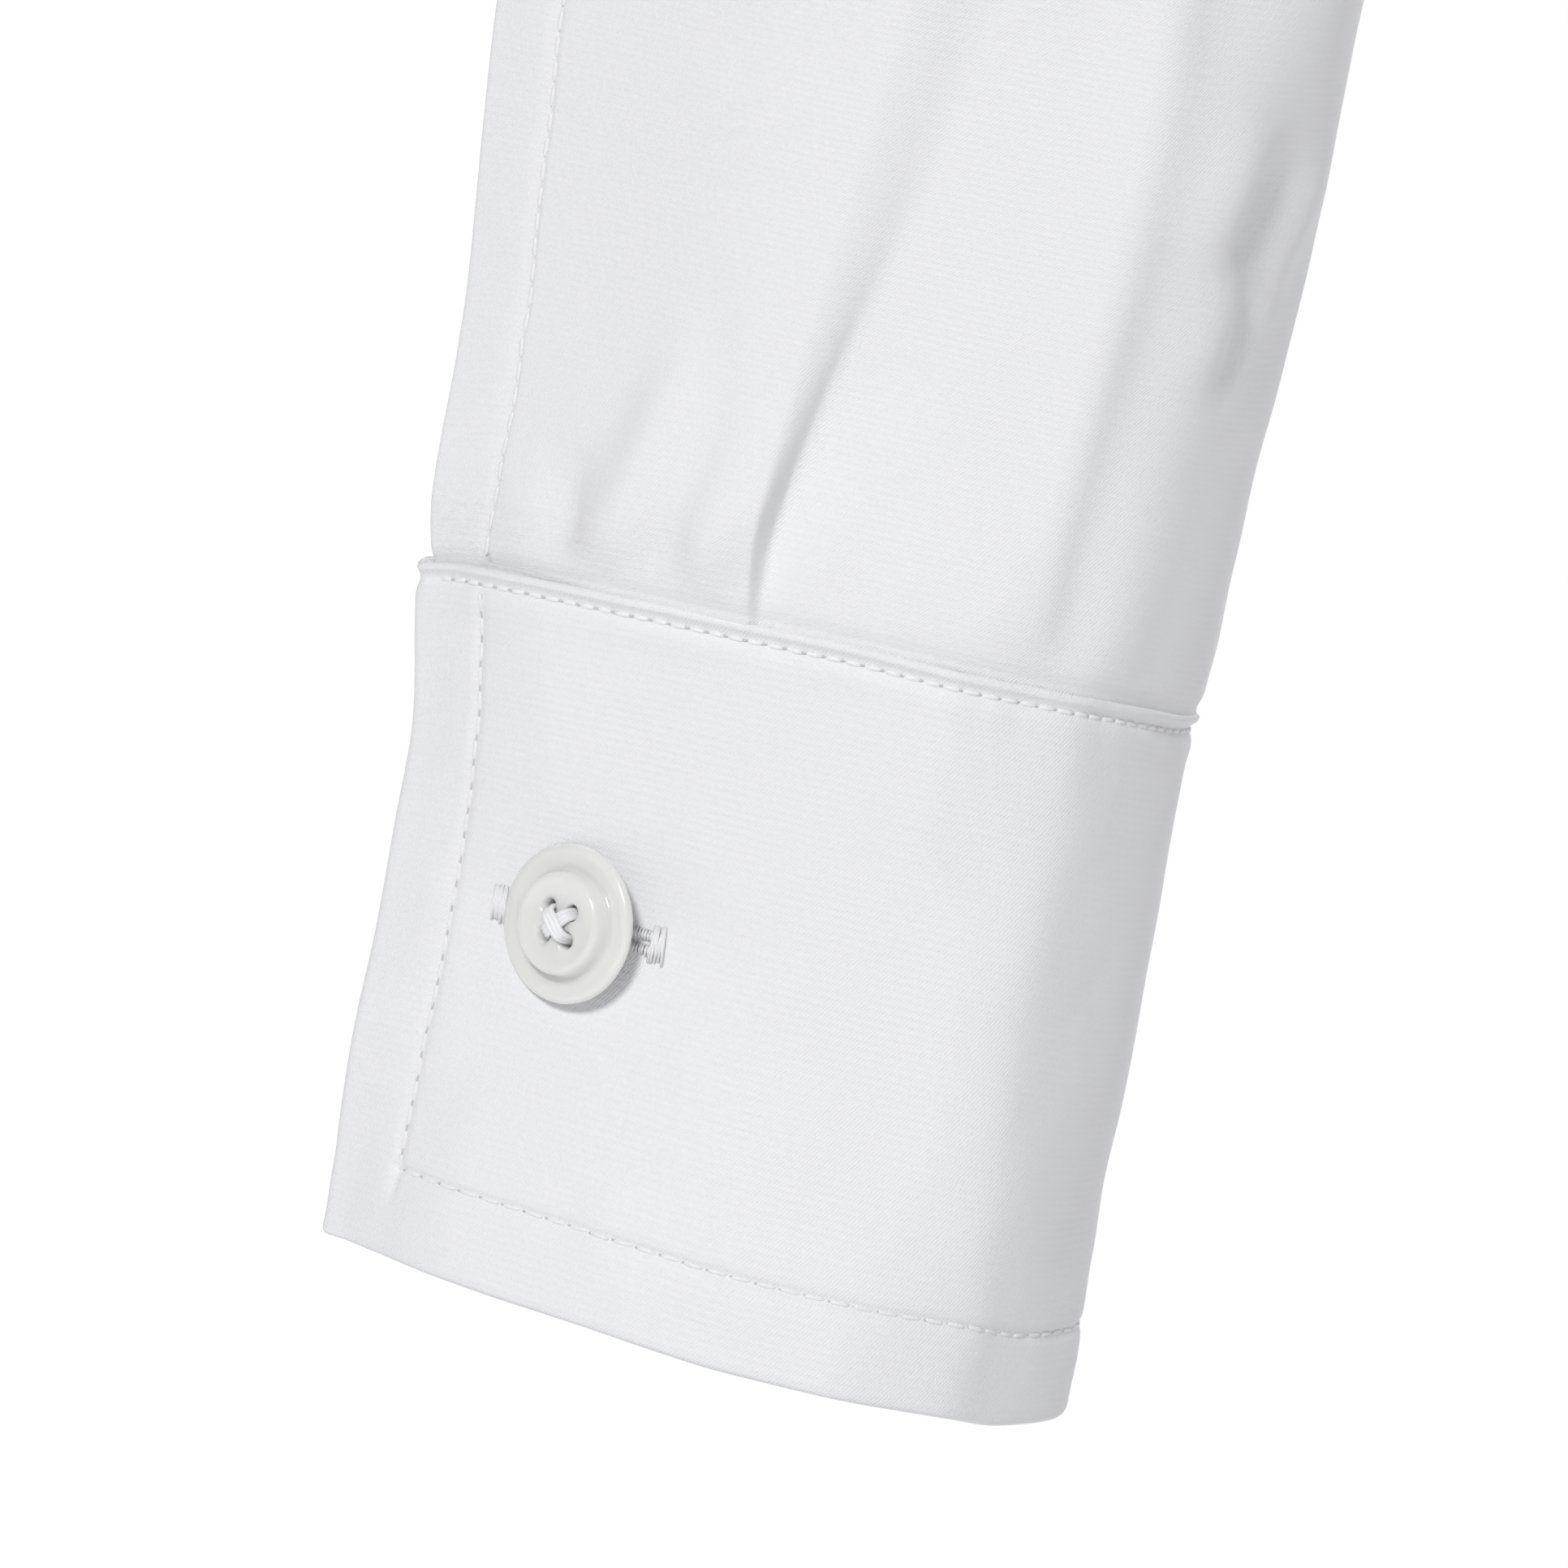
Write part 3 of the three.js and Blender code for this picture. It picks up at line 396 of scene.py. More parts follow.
# ---- Body of the shirt ----
half_at = reader(BODY, "z", "half")
front_at = reader(BODY, "z", "front")
back_at = reader(BODY, "z", "back")
SQUARE = 0.87
LOWER_ROWS, UPPER_ROWS, NECK_SHARE = 12, 12, 0.5
BODY_ROWS = LOWER_ROWS + UPPER_ROWS
NECK_ROW = LOWER_ROWS + UPPER_ROWS * NECK_SHARE


def armhole(degrees):
    """The left armhole: 0 at the armpit, 90 in front, 180 at the shoulder point, 270 behind."""
    angle = np.radians(degrees)
    forward = np.sin(angle) > 0
    rise = (1 - np.cos(angle)) / 2
    x = mix(half_at(ARMPIT_Z), SHOULDER_X, rise**1.6)
    x = x - np.where(forward, 18, 12) * np.sin(angle) ** 2
    y = -np.where(forward, 58, 60) * np.sin(angle)
    return np.stack([x, y, mix(ARMPIT_Z, SHOULDER_Z, rise)], axis=-1)


def neckline(degrees):
    """The neckline: 0 at the front, 90 at the left high shoulder point, 180 at the back."""
    angle = np.radians(degrees)
    forward = np.cos(angle)
    front = np.maximum(forward, 0)
    behind = np.maximum(-forward, 0)
    y = 6 + (NECK_FRONT_Y - 6) * front + (NECK_BACK_Y - 6) * behind
    z = NECK_FRONT_Z * front**1.25 - 6 * behind**2
    return np.stack([NECK_HALF * np.sin(angle), y, z], axis=-1)


def across(centre, edge, turn, s, swell=0.0):
    """Points between the centre line and the edge of a panel, on an arc of turn degrees."""
    end, now = math.radians(turn), np.radians(turn) * s
    sideways = (np.sin(now) / math.sin(end)) ** SQUARE
    depth = (1 - np.maximum(np.cos(now), 0) ** SQUARE) / (1 - max(math.cos(end), 0) ** SQUARE)
    x = mix(centre[0], edge[0], sideways)
    y = mix(centre[1], edge[1], depth) + swell * np.sin(np.pi * s)
    return np.stack([x, y, mix(centre[2], edge[2], s**1.5)], axis=-1)


def body_line(facing, row, s, centre_x=0.0):
    """One line of a left body panel, from the centre to the side or armhole."""
    front = facing == "front"
    sign, depth_at = (-1, front_at) if front else (1, back_at)
    turn, swell = 90.0, 0.0
    if row <= LOWER_ROWS:
        z = mix(HIP_SEAM_Z, ARMPIT_Z, row / LOWER_ROWS)
        centre = (centre_x, sign * float(depth_at(z)), z)
        edge = (float(half_at(z)), 0.0, z)
    else:
        share = (row - LOWER_ROWS) / UPPER_ROWS
        edge = armhole(180 * share if front else 360 - 180 * share)
        swell = sign * 9 * math.sin(math.pi * share)
        turn = float(mix(90.0, 42.0, ease(share, 0, 0.6)))
        neck_z = NECK_FRONT_Z if front else -6.0
        if share <= NECK_SHARE:
            z = mix(ARMPIT_Z, neck_z, share / NECK_SHARE)
            centre = (centre_x, sign * float(depth_at(z)), z)
        else:
            up = (share - NECK_SHARE) / (1 - NECK_SHARE)
            start = math.degrees(math.asin(abs(centre_x) / NECK_HALF))
            angle = mix(start, 90.0, up)
            centre = neckline(angle if front else 180 - angle)
    p = across(centre, edge, turn, s, swell)
    if front:
        p[:, 1] -= 13 * np.exp(-(((p[:, 0] - 80) / 55) ** 2) - ((p[:, 2] + 250) / 60) ** 2)
    near = ease(s, 0.9, 1) if row <= LOWER_ROWS else ease(row, BODY_ROWS - 1, BODY_ROWS)
    p[:, 1] += sign * near * SEAM / 2
    p[:, 2] += SEAM * (1 - ease(row, 0, 0.5))
    return p


brief_line = {f: spline([(0, r["y"], r["z"]) for r in rows]) for f, rows in BRIEF_LINE.items()}
leg_line = {f: spline([(r["x"], r["y"], r["z"]) for r in rows]) for f, rows in LEG_LINE.items()}
SIDE_SHARE = 0.3


def brief_rows(facing, t, s):
    """A grid of the left half of the brief: t from hip seam to crotch, s from centre to edge."""
    sign = -1 if facing == "front" else 1
    lines = []
    for share in t:
        if share <= SIDE_SHARE:
            z = mix(HIP_SEAM_Z, SIDE_HEM_Z, share / SIDE_SHARE)
            centre = brief_line[facing](share * 0.95)
            edge = (float(half_at(z)), 0.0, z)
        else:
            on = (share - SIDE_SHARE) / (1 - SIDE_SHARE)
            centre = brief_line[facing](mix(SIDE_SHARE * 0.95, 1, on))
            edge = leg_line[facing](on)
        p = across(centre, edge, float(mix(90, 40, ease(share, SIDE_SHARE, 0.8))), s)
        if share <= SIDE_SHARE:
            p[:, 1] += sign * ease(s, 0.9, 1) * SEAM / 2
        lines.append(p)
    return np.array(lines)


def body_folds(facing, p):
    """How far the cloth of the body stands out at points p, by its soft folds."""
    seed = 11 if facing == "front" else 12
    undulation = wander_field(seed)
    out = 0.5 * undulation(p[..., 0] / 34 + 20, p[..., 2] / 52 + 20)
    for side, sign in (("right", -1), ("left", 1)):
        shift = 0 if side == "right" else 7
        for fold in BODY_FOLDS[facing]:
            line = (fold["x0"], fold["z0"] - shift, fold["x1"], fold["z1"] - 1.6 * shift)
            height = fold["height"] * (1.7 if side == "right" else 1.45)
            out = out + ridge(sign * p[..., 0], p[..., 2], *line, fold["width"], height)
    return out


# ---- Arms ----
JOINT = np.array([184.0, 0.0, -78.0])
UPPER_DOWN = np.array([math.sin(math.radians(ARM_TILT)), 0, -math.cos(math.radians(ARM_TILT))])
ELBOW = JOINT + UPPER_DOWN * UPPER_ARM + np.array([0, 6, 0])
LOWER_DOWN = unit(
    np.array(
        [
            math.sin(math.radians(FOREARM_TILT)),
            -math.tan(math.radians(FOREARM_LEAN)),
            -math.cos(math.radians(FOREARM_TILT)),
        ]
    )
)
wide_at = reader(ARM, "at", "wide")
deep_at = reader(ARM, "at", "deep")
tear_at = reader(ARM, "at", "tear")
cuff_curve = spline([(row["x"], row["y"]) for row in CUFF_SECTION])
LAP_LENGTH = cuff_curve.length_at(LAP_ROW)


def arm_frame(at):
    """Centre of the left arm at a distance from its joint, and the ways to the body and forwards."""
    at = np.asarray(at, float)
    bend = ease(at, UPPER_ARM - ELBOW_BEND, UPPER_ARM + ELBOW_BEND)[..., None]
    down = unit(mix(UPPER_DOWN, LOWER_DOWN, bend))
    run = (at - UPPER_ARM)[..., None]
    centre = mix(ELBOW + UPPER_DOWN * run, ELBOW + LOWER_DOWN * run, bend)
    inner = unit(np.cross(np.array([0.0, -1.0, 0.0]), down))
    inner = inner * -np.sign(inner[..., :1])
    forward = unit(np.cross(inner, down))
    forward = forward * -np.sign(forward[..., 1:2])
    return centre, inner, forward


def section(at, share, wide, deep, tear, opened=1.0):
    """Points of sleeve or cuff sections of the left arm. The share round is 0 at the overlapping
    end, on the outer side, 0.25 in front, 0.5 on the inner side and 1 beneath that end."""
    at, share = np.broadcast_arrays(np.asarray(at, float), np.asarray(share, float))
    centre, inner, forward = arm_frame(at)
    angle = np.pi * (1 - 2 * share)
    along = cuff_curve(share * LAP_LENGTH / cuff_curve.length)
    x = (along[..., 0] - SECTION_CENTRE[0]) / CUFF_WIDE
    y = (along[..., 1] - SECTION_CENTRE[1]) / CUFF_DEEP
    from_end = np.minimum(np.abs(share), np.abs(1 - share))
    closed = (1 - opened) * (1 - ease(from_end, 0, 0.1))
    x, y = mix(x, -0.93, closed), mix(y, 0.066, closed)
    x, y = mix(np.cos(angle), x, tear), mix(np.sin(angle), y, tear)
    return (
        centre
        + inner * (x * wide)[..., None]
        + forward * (y * deep)[..., None]
    )


# ---- Shells ----
def grid_normals(p, outwards):
    """Normals of a grid of points, on the side that outwards names with a point inside it."""
    along, sideways = np.gradient(p, axis=0), np.gradient(p, axis=1)
    normal = unit(np.cross(along, sideways))
    towards = np.sum(normal * (p - outwards(p)), axis=-1)
    return normal if np.median(towards) > 0 else -normal


def edge_distance(p, sides):
    """Distance of each grid point from the nearest of the named edges, along the grid's lines."""
    rows = np.linalg.norm(np.diff(p, axis=0), axis=-1)
    columns = np.linalg.norm(np.diff(p, axis=1), axis=-1)
    far = np.full(p.shape[:2], 1e3)
    down = np.concatenate([np.zeros((1, p.shape[1])), np.cumsum(rows, axis=0)])
    right = np.concatenate([np.zeros((p.shape[0], 1)), np.cumsum(columns, axis=1)], axis=1)
    if "first_row" in sides:
        far = np.minimum(far, down)
    if "last_row" in sides:
        far = np.minimum(far, down[-1:] - down)
    if "first_column" in sides:
        far = np.minimum(far, right)
    if "last_column" in sides:
        far = np.minimum(far, right[:, -1:] - right)
    return far


def spaced(length, step, ends=(), fine=0.25):
    """Distances from 0 to length, about a step apart, and closer beside each end in ends."""
    count = max(int(round(length / step)), 1)
    at = list(np.linspace(0, length, count + 1))
    close = [0.0, 0.12, 0.3, 0.55, 0.9, 1.4, 2.0]
    for end in ends:
        extra = [d * fine / 0.25 for d in close]
        extra = extra if end == 0 else [length - d for d in extra]
        low, high = min(extra), max(extra)
        at = [v for v in at if not low - 0.3 * step < v < high + 0.3 * step] + extra
    return np.array(sorted(set(np.clip(at, 0, length))))


def add_object(name, data):
    obj = bpy.data.objects.new(name, data)
    bpy.context.scene.collection.objects.link(obj)
    return obj


class Cloth:
    """Builds one piece of cloth: a grid of outer points, given a wall with rounded edges."""

    def __init__(self, name, outer, wall, inside, edges, weave, weld=None):
        self.name = name
        self.outer = outer
        self.normals = grid_normals(outer, inside)
        self.wall = wall
        self.edges = edges
        self.weave = weave
        self.weld = weld  # rows, up to which the first and last column are one

    def build(self, mirrored=False):
        p, n = self.outer.copy(), self.normals.copy()
        rows, columns = p.shape[:2]
        if self.weld:
            meeting = unit(n[: self.weld, 0] + n[: self.weld, -1])
            n[: self.weld, 0] = n[: self.weld, -1] = meeting
        r = self.wall * 0.5
        d = edge_distance(p, self.edges)
        if self.weld:
            d[: self.weld] = edge_distance(p, [e for e in self.edges if "row" in e])[: self.weld]
        full = np.sqrt(np.clip(1 - (1 - np.clip(d / r, 0, 1)) ** 2, 0, 1))
        middle = p - n * r
        top = middle + n * (r * full)[..., None]
        bottom = middle - n * (r * full)[..., None]
        points = np.concatenate([top.reshape(-1, 3), bottom.reshape(-1, 3)])
        if mirrored:
            points[:, 0] *= -1
        index = np.arange(rows * columns).reshape(rows, columns)
        a, b = index[:-1, :-1].ravel(), index[:-1, 1:].ravel()
        c, e = index[1:, 1:].ravel(), index[1:, :-1].ravel()
        quads = np.stack([a, b, c, e], axis=1)
        mid = rows // 2 * columns + columns // 2
        sample = np.cross(p.reshape(-1, 3)[mid + columns] - p.reshape(-1, 3)[mid],
                          p.reshape(-1, 3)[mid + 1] - p.reshape(-1, 3)[mid])
        agrees = float(np.dot(sample, n.reshape(-1, 3)[mid])) > 0
        if agrees != mirrored:
            quads = quads[:, ::-1]
        faces = np.concatenate([quads, quads[:, ::-1] + rows * columns])
        mesh = bpy.data.meshes.new(self.name)
        mesh.from_pydata((points * MM).tolist(), [], faces.tolist())
        uv = mesh.uv_layers.new(name="weave")
        corners = np.concatenate([self.weave.reshape(-1, 2)] * 2)
        uv.data.foreach_set("uv", corners[faces.ravel()].astype(np.float32).ravel())
        bm = bmesh.new()
        bm.from_mesh(mesh)
        bmesh.ops.remove_doubles(bm, verts=bm.verts, dist=0.004 * MM)
        bm.to_mesh(mesh)
        bm.free()
        mesh.validate()
        mesh.polygons.foreach_set("use_smooth", [True] * len(mesh.polygons))
        return add_object(self.name, mesh)

    def cut(self):
        """Width, length and area of the flat cut, in metres, from the grid's own lengths."""
        rows = np.linalg.norm(np.diff(self.outer, axis=1), axis=-1).sum(axis=1)
        columns = np.linalg.norm(np.diff(self.outer, axis=0), axis=-1).sum(axis=0)
        p = self.outer
        area = np.linalg.norm(
            np.cross(p[1:, 1:] - p[:-1, :-1], p[1:, :-1] - p[:-1, 1:]), axis=-1
        ).sum() / 2
        width, length = float(rows.max()) * MM, float(columns.max()) * MM
        return width, length, float(area) * MM * MM


def weave_lines(p):
    """Thread directions of a grid, in millimetres: along its rows and down its columns."""
    across_ = np.cumsum(np.linalg.norm(np.diff(p, axis=1), axis=-1), axis=1)
    across_ = np.concatenate([np.zeros((p.shape[0], 1)), across_], axis=1)
    middle = p.shape[1] // 2
    down = np.concatenate([[0], np.cumsum(np.linalg.norm(np.diff(p[:, middle], axis=0), axis=1))])
    across_ = across_ - across_[:, middle : middle + 1]
    return np.stack([across_, np.repeat(down[:, None], p.shape[1], axis=1)], axis=-1)


def finish_cloth(obj, material, cloth, nodes):
    """Paints a piece of cloth, attaches it to the root body and hides the parts it stands for; its cut is
    worked out but not kept.
    """
    obj.data.materials.clear()
    obj.data.materials.append(material)
    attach(obj, "root")
    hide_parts(*nodes)
    width, length, area = cloth.cut()
    width, length = round(width, 4), round(length, 4)


# ---- Materials ----
def value_node(tree, kind, **settings):
    node = tree.nodes.new(kind)
    for key, value in settings.items():
        setattr(node, key, value)
    return node


def maths(tree, operation, a, b=None):
    node = value_node(tree, "ShaderNodeMath", operation=operation)
    for socket, value in zip(node.inputs, (a, b)):
        if value is None:
            continue
        if hasattr(value, "default_value") or hasattr(value, "links"):
            tree.links.new(value, socket)
        else:
            socket.default_value = value
    return node.outputs[0]


def sateen_group():
    """Crosswise ribs over a fine twill, with slight slubs. Shade is painted shade, darker in the weave's
    hollows, mixed with the yarn's own uneven tone. Lengths are in millimetres.
    """
    tree = bpy.data.node_groups.new("sateen_weave", "ShaderNodeTree")
    face = tree.interface
    face.new_socket("Thread Place", in_out="INPUT", socket_type="NodeSocketVector")
    for name, default in (("Rib Pitch", 0.6), ("Twill Pitch", 0.3), ("Twill Share", 0.6)):
        socket = face.new_socket(name, in_out="INPUT", socket_type="NodeSocketFloat")
        socket.default_value = default
    face.new_socket("Height", in_out="OUTPUT", socket_type="NodeSocketFloat")
    face.new_socket("Shade", in_out="OUTPUT", socket_type="NodeSocketFloat")
    start, end = tree.nodes.new("NodeGroupInput"), tree.nodes.new("NodeGroupOutput")
    parts = tree.nodes.new("ShaderNodeSeparateXYZ")
    tree.links.new(start.outputs["Thread Place"], parts.inputs[0])
    slub = value_node(tree, "ShaderNodeTexNoise", noise_dimensions="2D")
    slub.inputs["Scale"].default_value = 0.9
    slub.inputs["Detail"].default_value = 3
    stretch = value_node(tree, "ShaderNodeMapping")
    stretch.inputs["Scale"].default_value = (0.35, 1.6, 1)
    tree.links.new(start.outputs["Thread Place"], stretch.inputs["Vector"])
    tree.links.new(stretch.outputs[0], slub.inputs["Vector"])
    wobble = maths(tree, "MULTIPLY", maths(tree, "SUBTRACT", slub.outputs["Fac"], 0.5), 2.6)
    turns = maths(tree, "DIVIDE", parts.outputs[1], start.outputs["Rib Pitch"])
    phase = maths(tree, "ADD", maths(tree, "MULTIPLY", turns, 2 * math.pi), wobble)
    rib = maths(tree, "ADD", maths(tree, "MULTIPLY", maths(tree, "SINE", phase), 0.5), 0.5)
    slope = maths(tree, "ADD", parts.outputs[0], maths(tree, "MULTIPLY", parts.outputs[1], 0.8))
    twill_turns = maths(tree, "DIVIDE", slope, start.outputs["Twill Pitch"])
    twill_phase = maths(tree, "ADD", maths(tree, "MULTIPLY", twill_turns, 2 * math.pi), wobble)
    twill = maths(tree, "ADD", maths(tree, "MULTIPLY", maths(tree, "SINE", twill_phase), 0.5), 0.5)
    share = start.outputs["Twill Share"]
    grain = value_node(tree, "ShaderNodeTexNoise", noise_dimensions="2D")
    grain.inputs["Scale"].default_value = 5.5
    grain.inputs["Detail"].default_value = 2
    tree.links.new(start.outputs["Thread Place"], grain.inputs["Vector"])
    patch = value_node(tree, "ShaderNodeTexNoise", noise_dimensions="2D")
    patch.inputs["Scale"].default_value = 0.16
    tree.links.new(start.outputs["Thread Place"], patch.inputs["Vector"])
    shown = maths(tree, "MULTIPLY", patch.outputs["Fac"], 0.95)
    rough = maths(tree, "MULTIPLY", grain.outputs["Fac"], 1.5)
    height = maths(tree, "ADD", maths(tree, "MULTIPLY", rib, shown), rough)
    height = maths(tree, "ADD", height, maths(tree, "MULTIPLY", twill, share))
    height = maths(tree, "ADD", height, maths(tree, "MULTIPLY", slub.outputs["Fac"], 0.5))
    tree.links.new(height, end.inputs["Height"])
    # Painted shade: the colour follows the weave's height, darker in its hollows and lighter on its tops.
    tree.links.new(maths(tree, "MULTIPLY", height, 0.4), end.inputs["Shade"])
    return tree


def object_noise(tree, scale, detail=2):
    """Noise that is fixed to the object, as its strength at each point."""
    place = value_node(tree, "ShaderNodeTexCoord")
    noise = value_node(tree, "ShaderNodeTexNoise")
    noise.inputs["Scale"].default_value = scale
    noise.inputs["Detail"].default_value = detail
    tree.links.new(place.outputs["Object"], noise.inputs["Vector"])
    return noise.outputs["Fac"]


def blend_colours(tree, shader, factor, first, second):
    """Colours a material between two colours, by a factor."""
    ramp = value_node(tree, "ShaderNodeMix", data_type="RGBA")
    ramp.inputs["A"].default_value = (*first, 1)
    ramp.inputs["B"].default_value = (*second, 1)
    tree.links.new(factor, ramp.inputs["Factor"])
    tree.links.new(ramp.outputs["Result"], shader.inputs["Base Color"])


def add_bump(tree, shader, height, strength, distance):
    bump = value_node(tree, "ShaderNodeBump")
    bump.inputs["Strength"].default_value = strength
    bump.inputs["Distance"].default_value = distance * MM
    tree.links.new(height, bump.inputs["Height"])
    tree.links.new(bump.outputs[0], shader.inputs["Normal"])


def new_material(name):
    material = bpy.data.materials.new(name)
    material.use_nodes = True
    tree = material.node_tree
    return material, tree, tree.nodes["Principled BSDF"]


def sateen_material(settings):
    material, tree, shader = new_material("white_sateen")
    place = value_node(tree, "ShaderNodeUVMap", uv_map="weave")
    weave = value_node(tree, "ShaderNodeGroup", node_tree=sateen_group())
    weave.inputs["Rib Pitch"].default_value = settings.rib_pitch
    tree.links.new(place.outputs[0], weave.inputs["Thread Place"])
    # Painted shade: the cloth is up to 6% darker in the weave's hollows; the grain and slubs in it are
    # partly the yarn's own tone.
    light, dark = settings.cloth_colour, [c * 0.94 for c in settings.cloth_colour]
    blend_colours(tree, shader, weave.outputs["Shade"], dark, light)
    add_bump(tree, shader, weave.outputs["Height"], 0.55, 0.06)
    shader.inputs["Roughness"].default_value = 0.5
    shader.inputs["Specular IOR Level"].default_value = 0.4
    shader.inputs["Sheen Weight"].default_value = 0.12
    shader.inputs["Sheen Roughness"].default_value = 0.45
    return material


def thread_material():
    material, tree, shader = new_material("white_thread")
    twist = object_noise(tree, 5200)
    blend_colours(tree, shader, twist, (0.78, 0.78, 0.8), (0.9, 0.9, 0.91))
    add_bump(tree, shader, twist, 0.4, 0.03)
    shader.inputs["Roughness"].default_value = 0.42
    shader.inputs["Sheen Weight"].default_value = 0.2
    return material


def resin_material(settings):
    material, tree, shader = new_material("ivory_resin")
    cloud = object_noise(tree, 420, 3)
    blend_colours(tree, shader, cloud, [c * 0.93 for c in settings.button_colour], settings.button_colour)
    shader.inputs["Roughness"].default_value = 0.16
    shader.inputs["Coat Weight"].default_value = 0.6
    shader.inputs["Coat Roughness"].default_value = 0.06
    shader.inputs["Transmission Weight"].default_value = 0.1
    shader.inputs["Subsurface Weight"].default_value = 0.6
    shader.inputs["Subsurface Radius"].default_value = (1.0, 0.95, 0.88)
    shader.inputs["Subsurface Scale"].default_value = 1.6 * MM
    return material


def hole_material():
    """Painted shade: a grey for short capsules between the stitches, standing in for the shadow in each
    needle hole.
    """
    material, tree, shader = new_material("needle_hole")
    shade_mottle = object_noise(tree, 6000)
    blend_colours(tree, shader, shade_mottle, (0.5, 0.5, 0.52), (0.62, 0.62, 0.64))
    shader.inputs["Roughness"].default_value = 0.9
    return material


def metal_material():
    material, tree, shader = new_material("plain_nickel")
    brushed = object_noise(tree, 900)
    spread = value_node(tree, "ShaderNodeMapRange")
    spread.inputs["To Min"].default_value = 0.22
    spread.inputs["To Max"].default_value = 0.4
    tree.links.new(brushed, spread.inputs["Value"])
    tree.links.new(spread.outputs[0], shader.inputs["Roughness"])
    shader.inputs["Base Color"].default_value = (0.72, 0.72, 0.74, 1)
    shader.inputs["Metallic"].default_value = 1
    return material


def floor_material():
    material, tree, shader = new_material("pale_floor")
    shader.inputs["Roughness"].default_value = 0.9
    mottle = object_noise(tree, 2.0)
    blend_colours(tree, shader, mottle, (0.9, 0.9, 0.9), (0.93, 0.93, 0.93))
    glow = value_node(tree, "ShaderNodeEmission")
    glow.inputs["Color"].default_value = (1, 1, 1, 1)
    path = value_node(tree, "ShaderNodeLightPath")
    blend = value_node(tree, "ShaderNodeMixShader")
    seen = maths(tree, "MAXIMUM", path.outputs["Is Camera Ray"], path.outputs["Is Glossy Ray"])
    seen = maths(tree, "MAXIMUM", seen, path.outputs["Is Transmission Ray"])
    tree.links.new(seen, blend.inputs[0])
    tree.links.new(shader.outputs[0], blend.inputs[1])
    tree.links.new(glow.outputs[0], blend.inputs[2])
    output = next(n for n in tree.nodes if n.type == "OUTPUT_MATERIAL")
    tree.links.new(blend.outputs[0], output.inputs["Surface"])
    return material


MATERIALS = {}


def material_of(name):
    if not MATERIALS:
        settings = bpy.context.scene.shirt_settings
        MATERIALS.update(
            sateen=sateen_material(settings),
            thread=thread_material(),
            # Painted shade of the needle holes, laid as grey capsules between the stitches.
            hole=hole_material(),
            resin=resin_material(settings),
            metal=metal_material(),
            floor=floor_material(),
        )
    return MATERIALS[name]


# ---- Stitches ----
def stitch_mesh():
    """One stitch, of unit length along Z and unit radius, narrow at its ends."""
    bm = bmesh.new()
    rings = [(-0.5, 0.35), (-0.42, 0.8), (-0.2, 1.0), (0.2, 1.0), (0.42, 0.8), (0.5, 0.35)]
    sides = 6
    loops = []
    for z, r in rings:
        loop = [
            bm.verts.new((r * math.cos(2 * math.pi * k / sides), r * math.sin(2 * math.pi * k / sides), z))
            for k in range(sides)
        ]
        loops.append(loop)
    for low, high in zip(loops, loops[1:]):
        for k in range(sides):
            bm.faces.new((low[k], low[(k + 1) % sides], high[(k + 1) % sides], high[k]))
    bm.faces.new(loops[0][::-1])
    bm.faces.new(loops[-1])
    mesh = bpy.data.meshes.new("stitch")
    bm.to_mesh(mesh)
    bm.free()
    mesh.polygons.foreach_set("use_smooth", [True] * len(mesh.polygons))
    return mesh


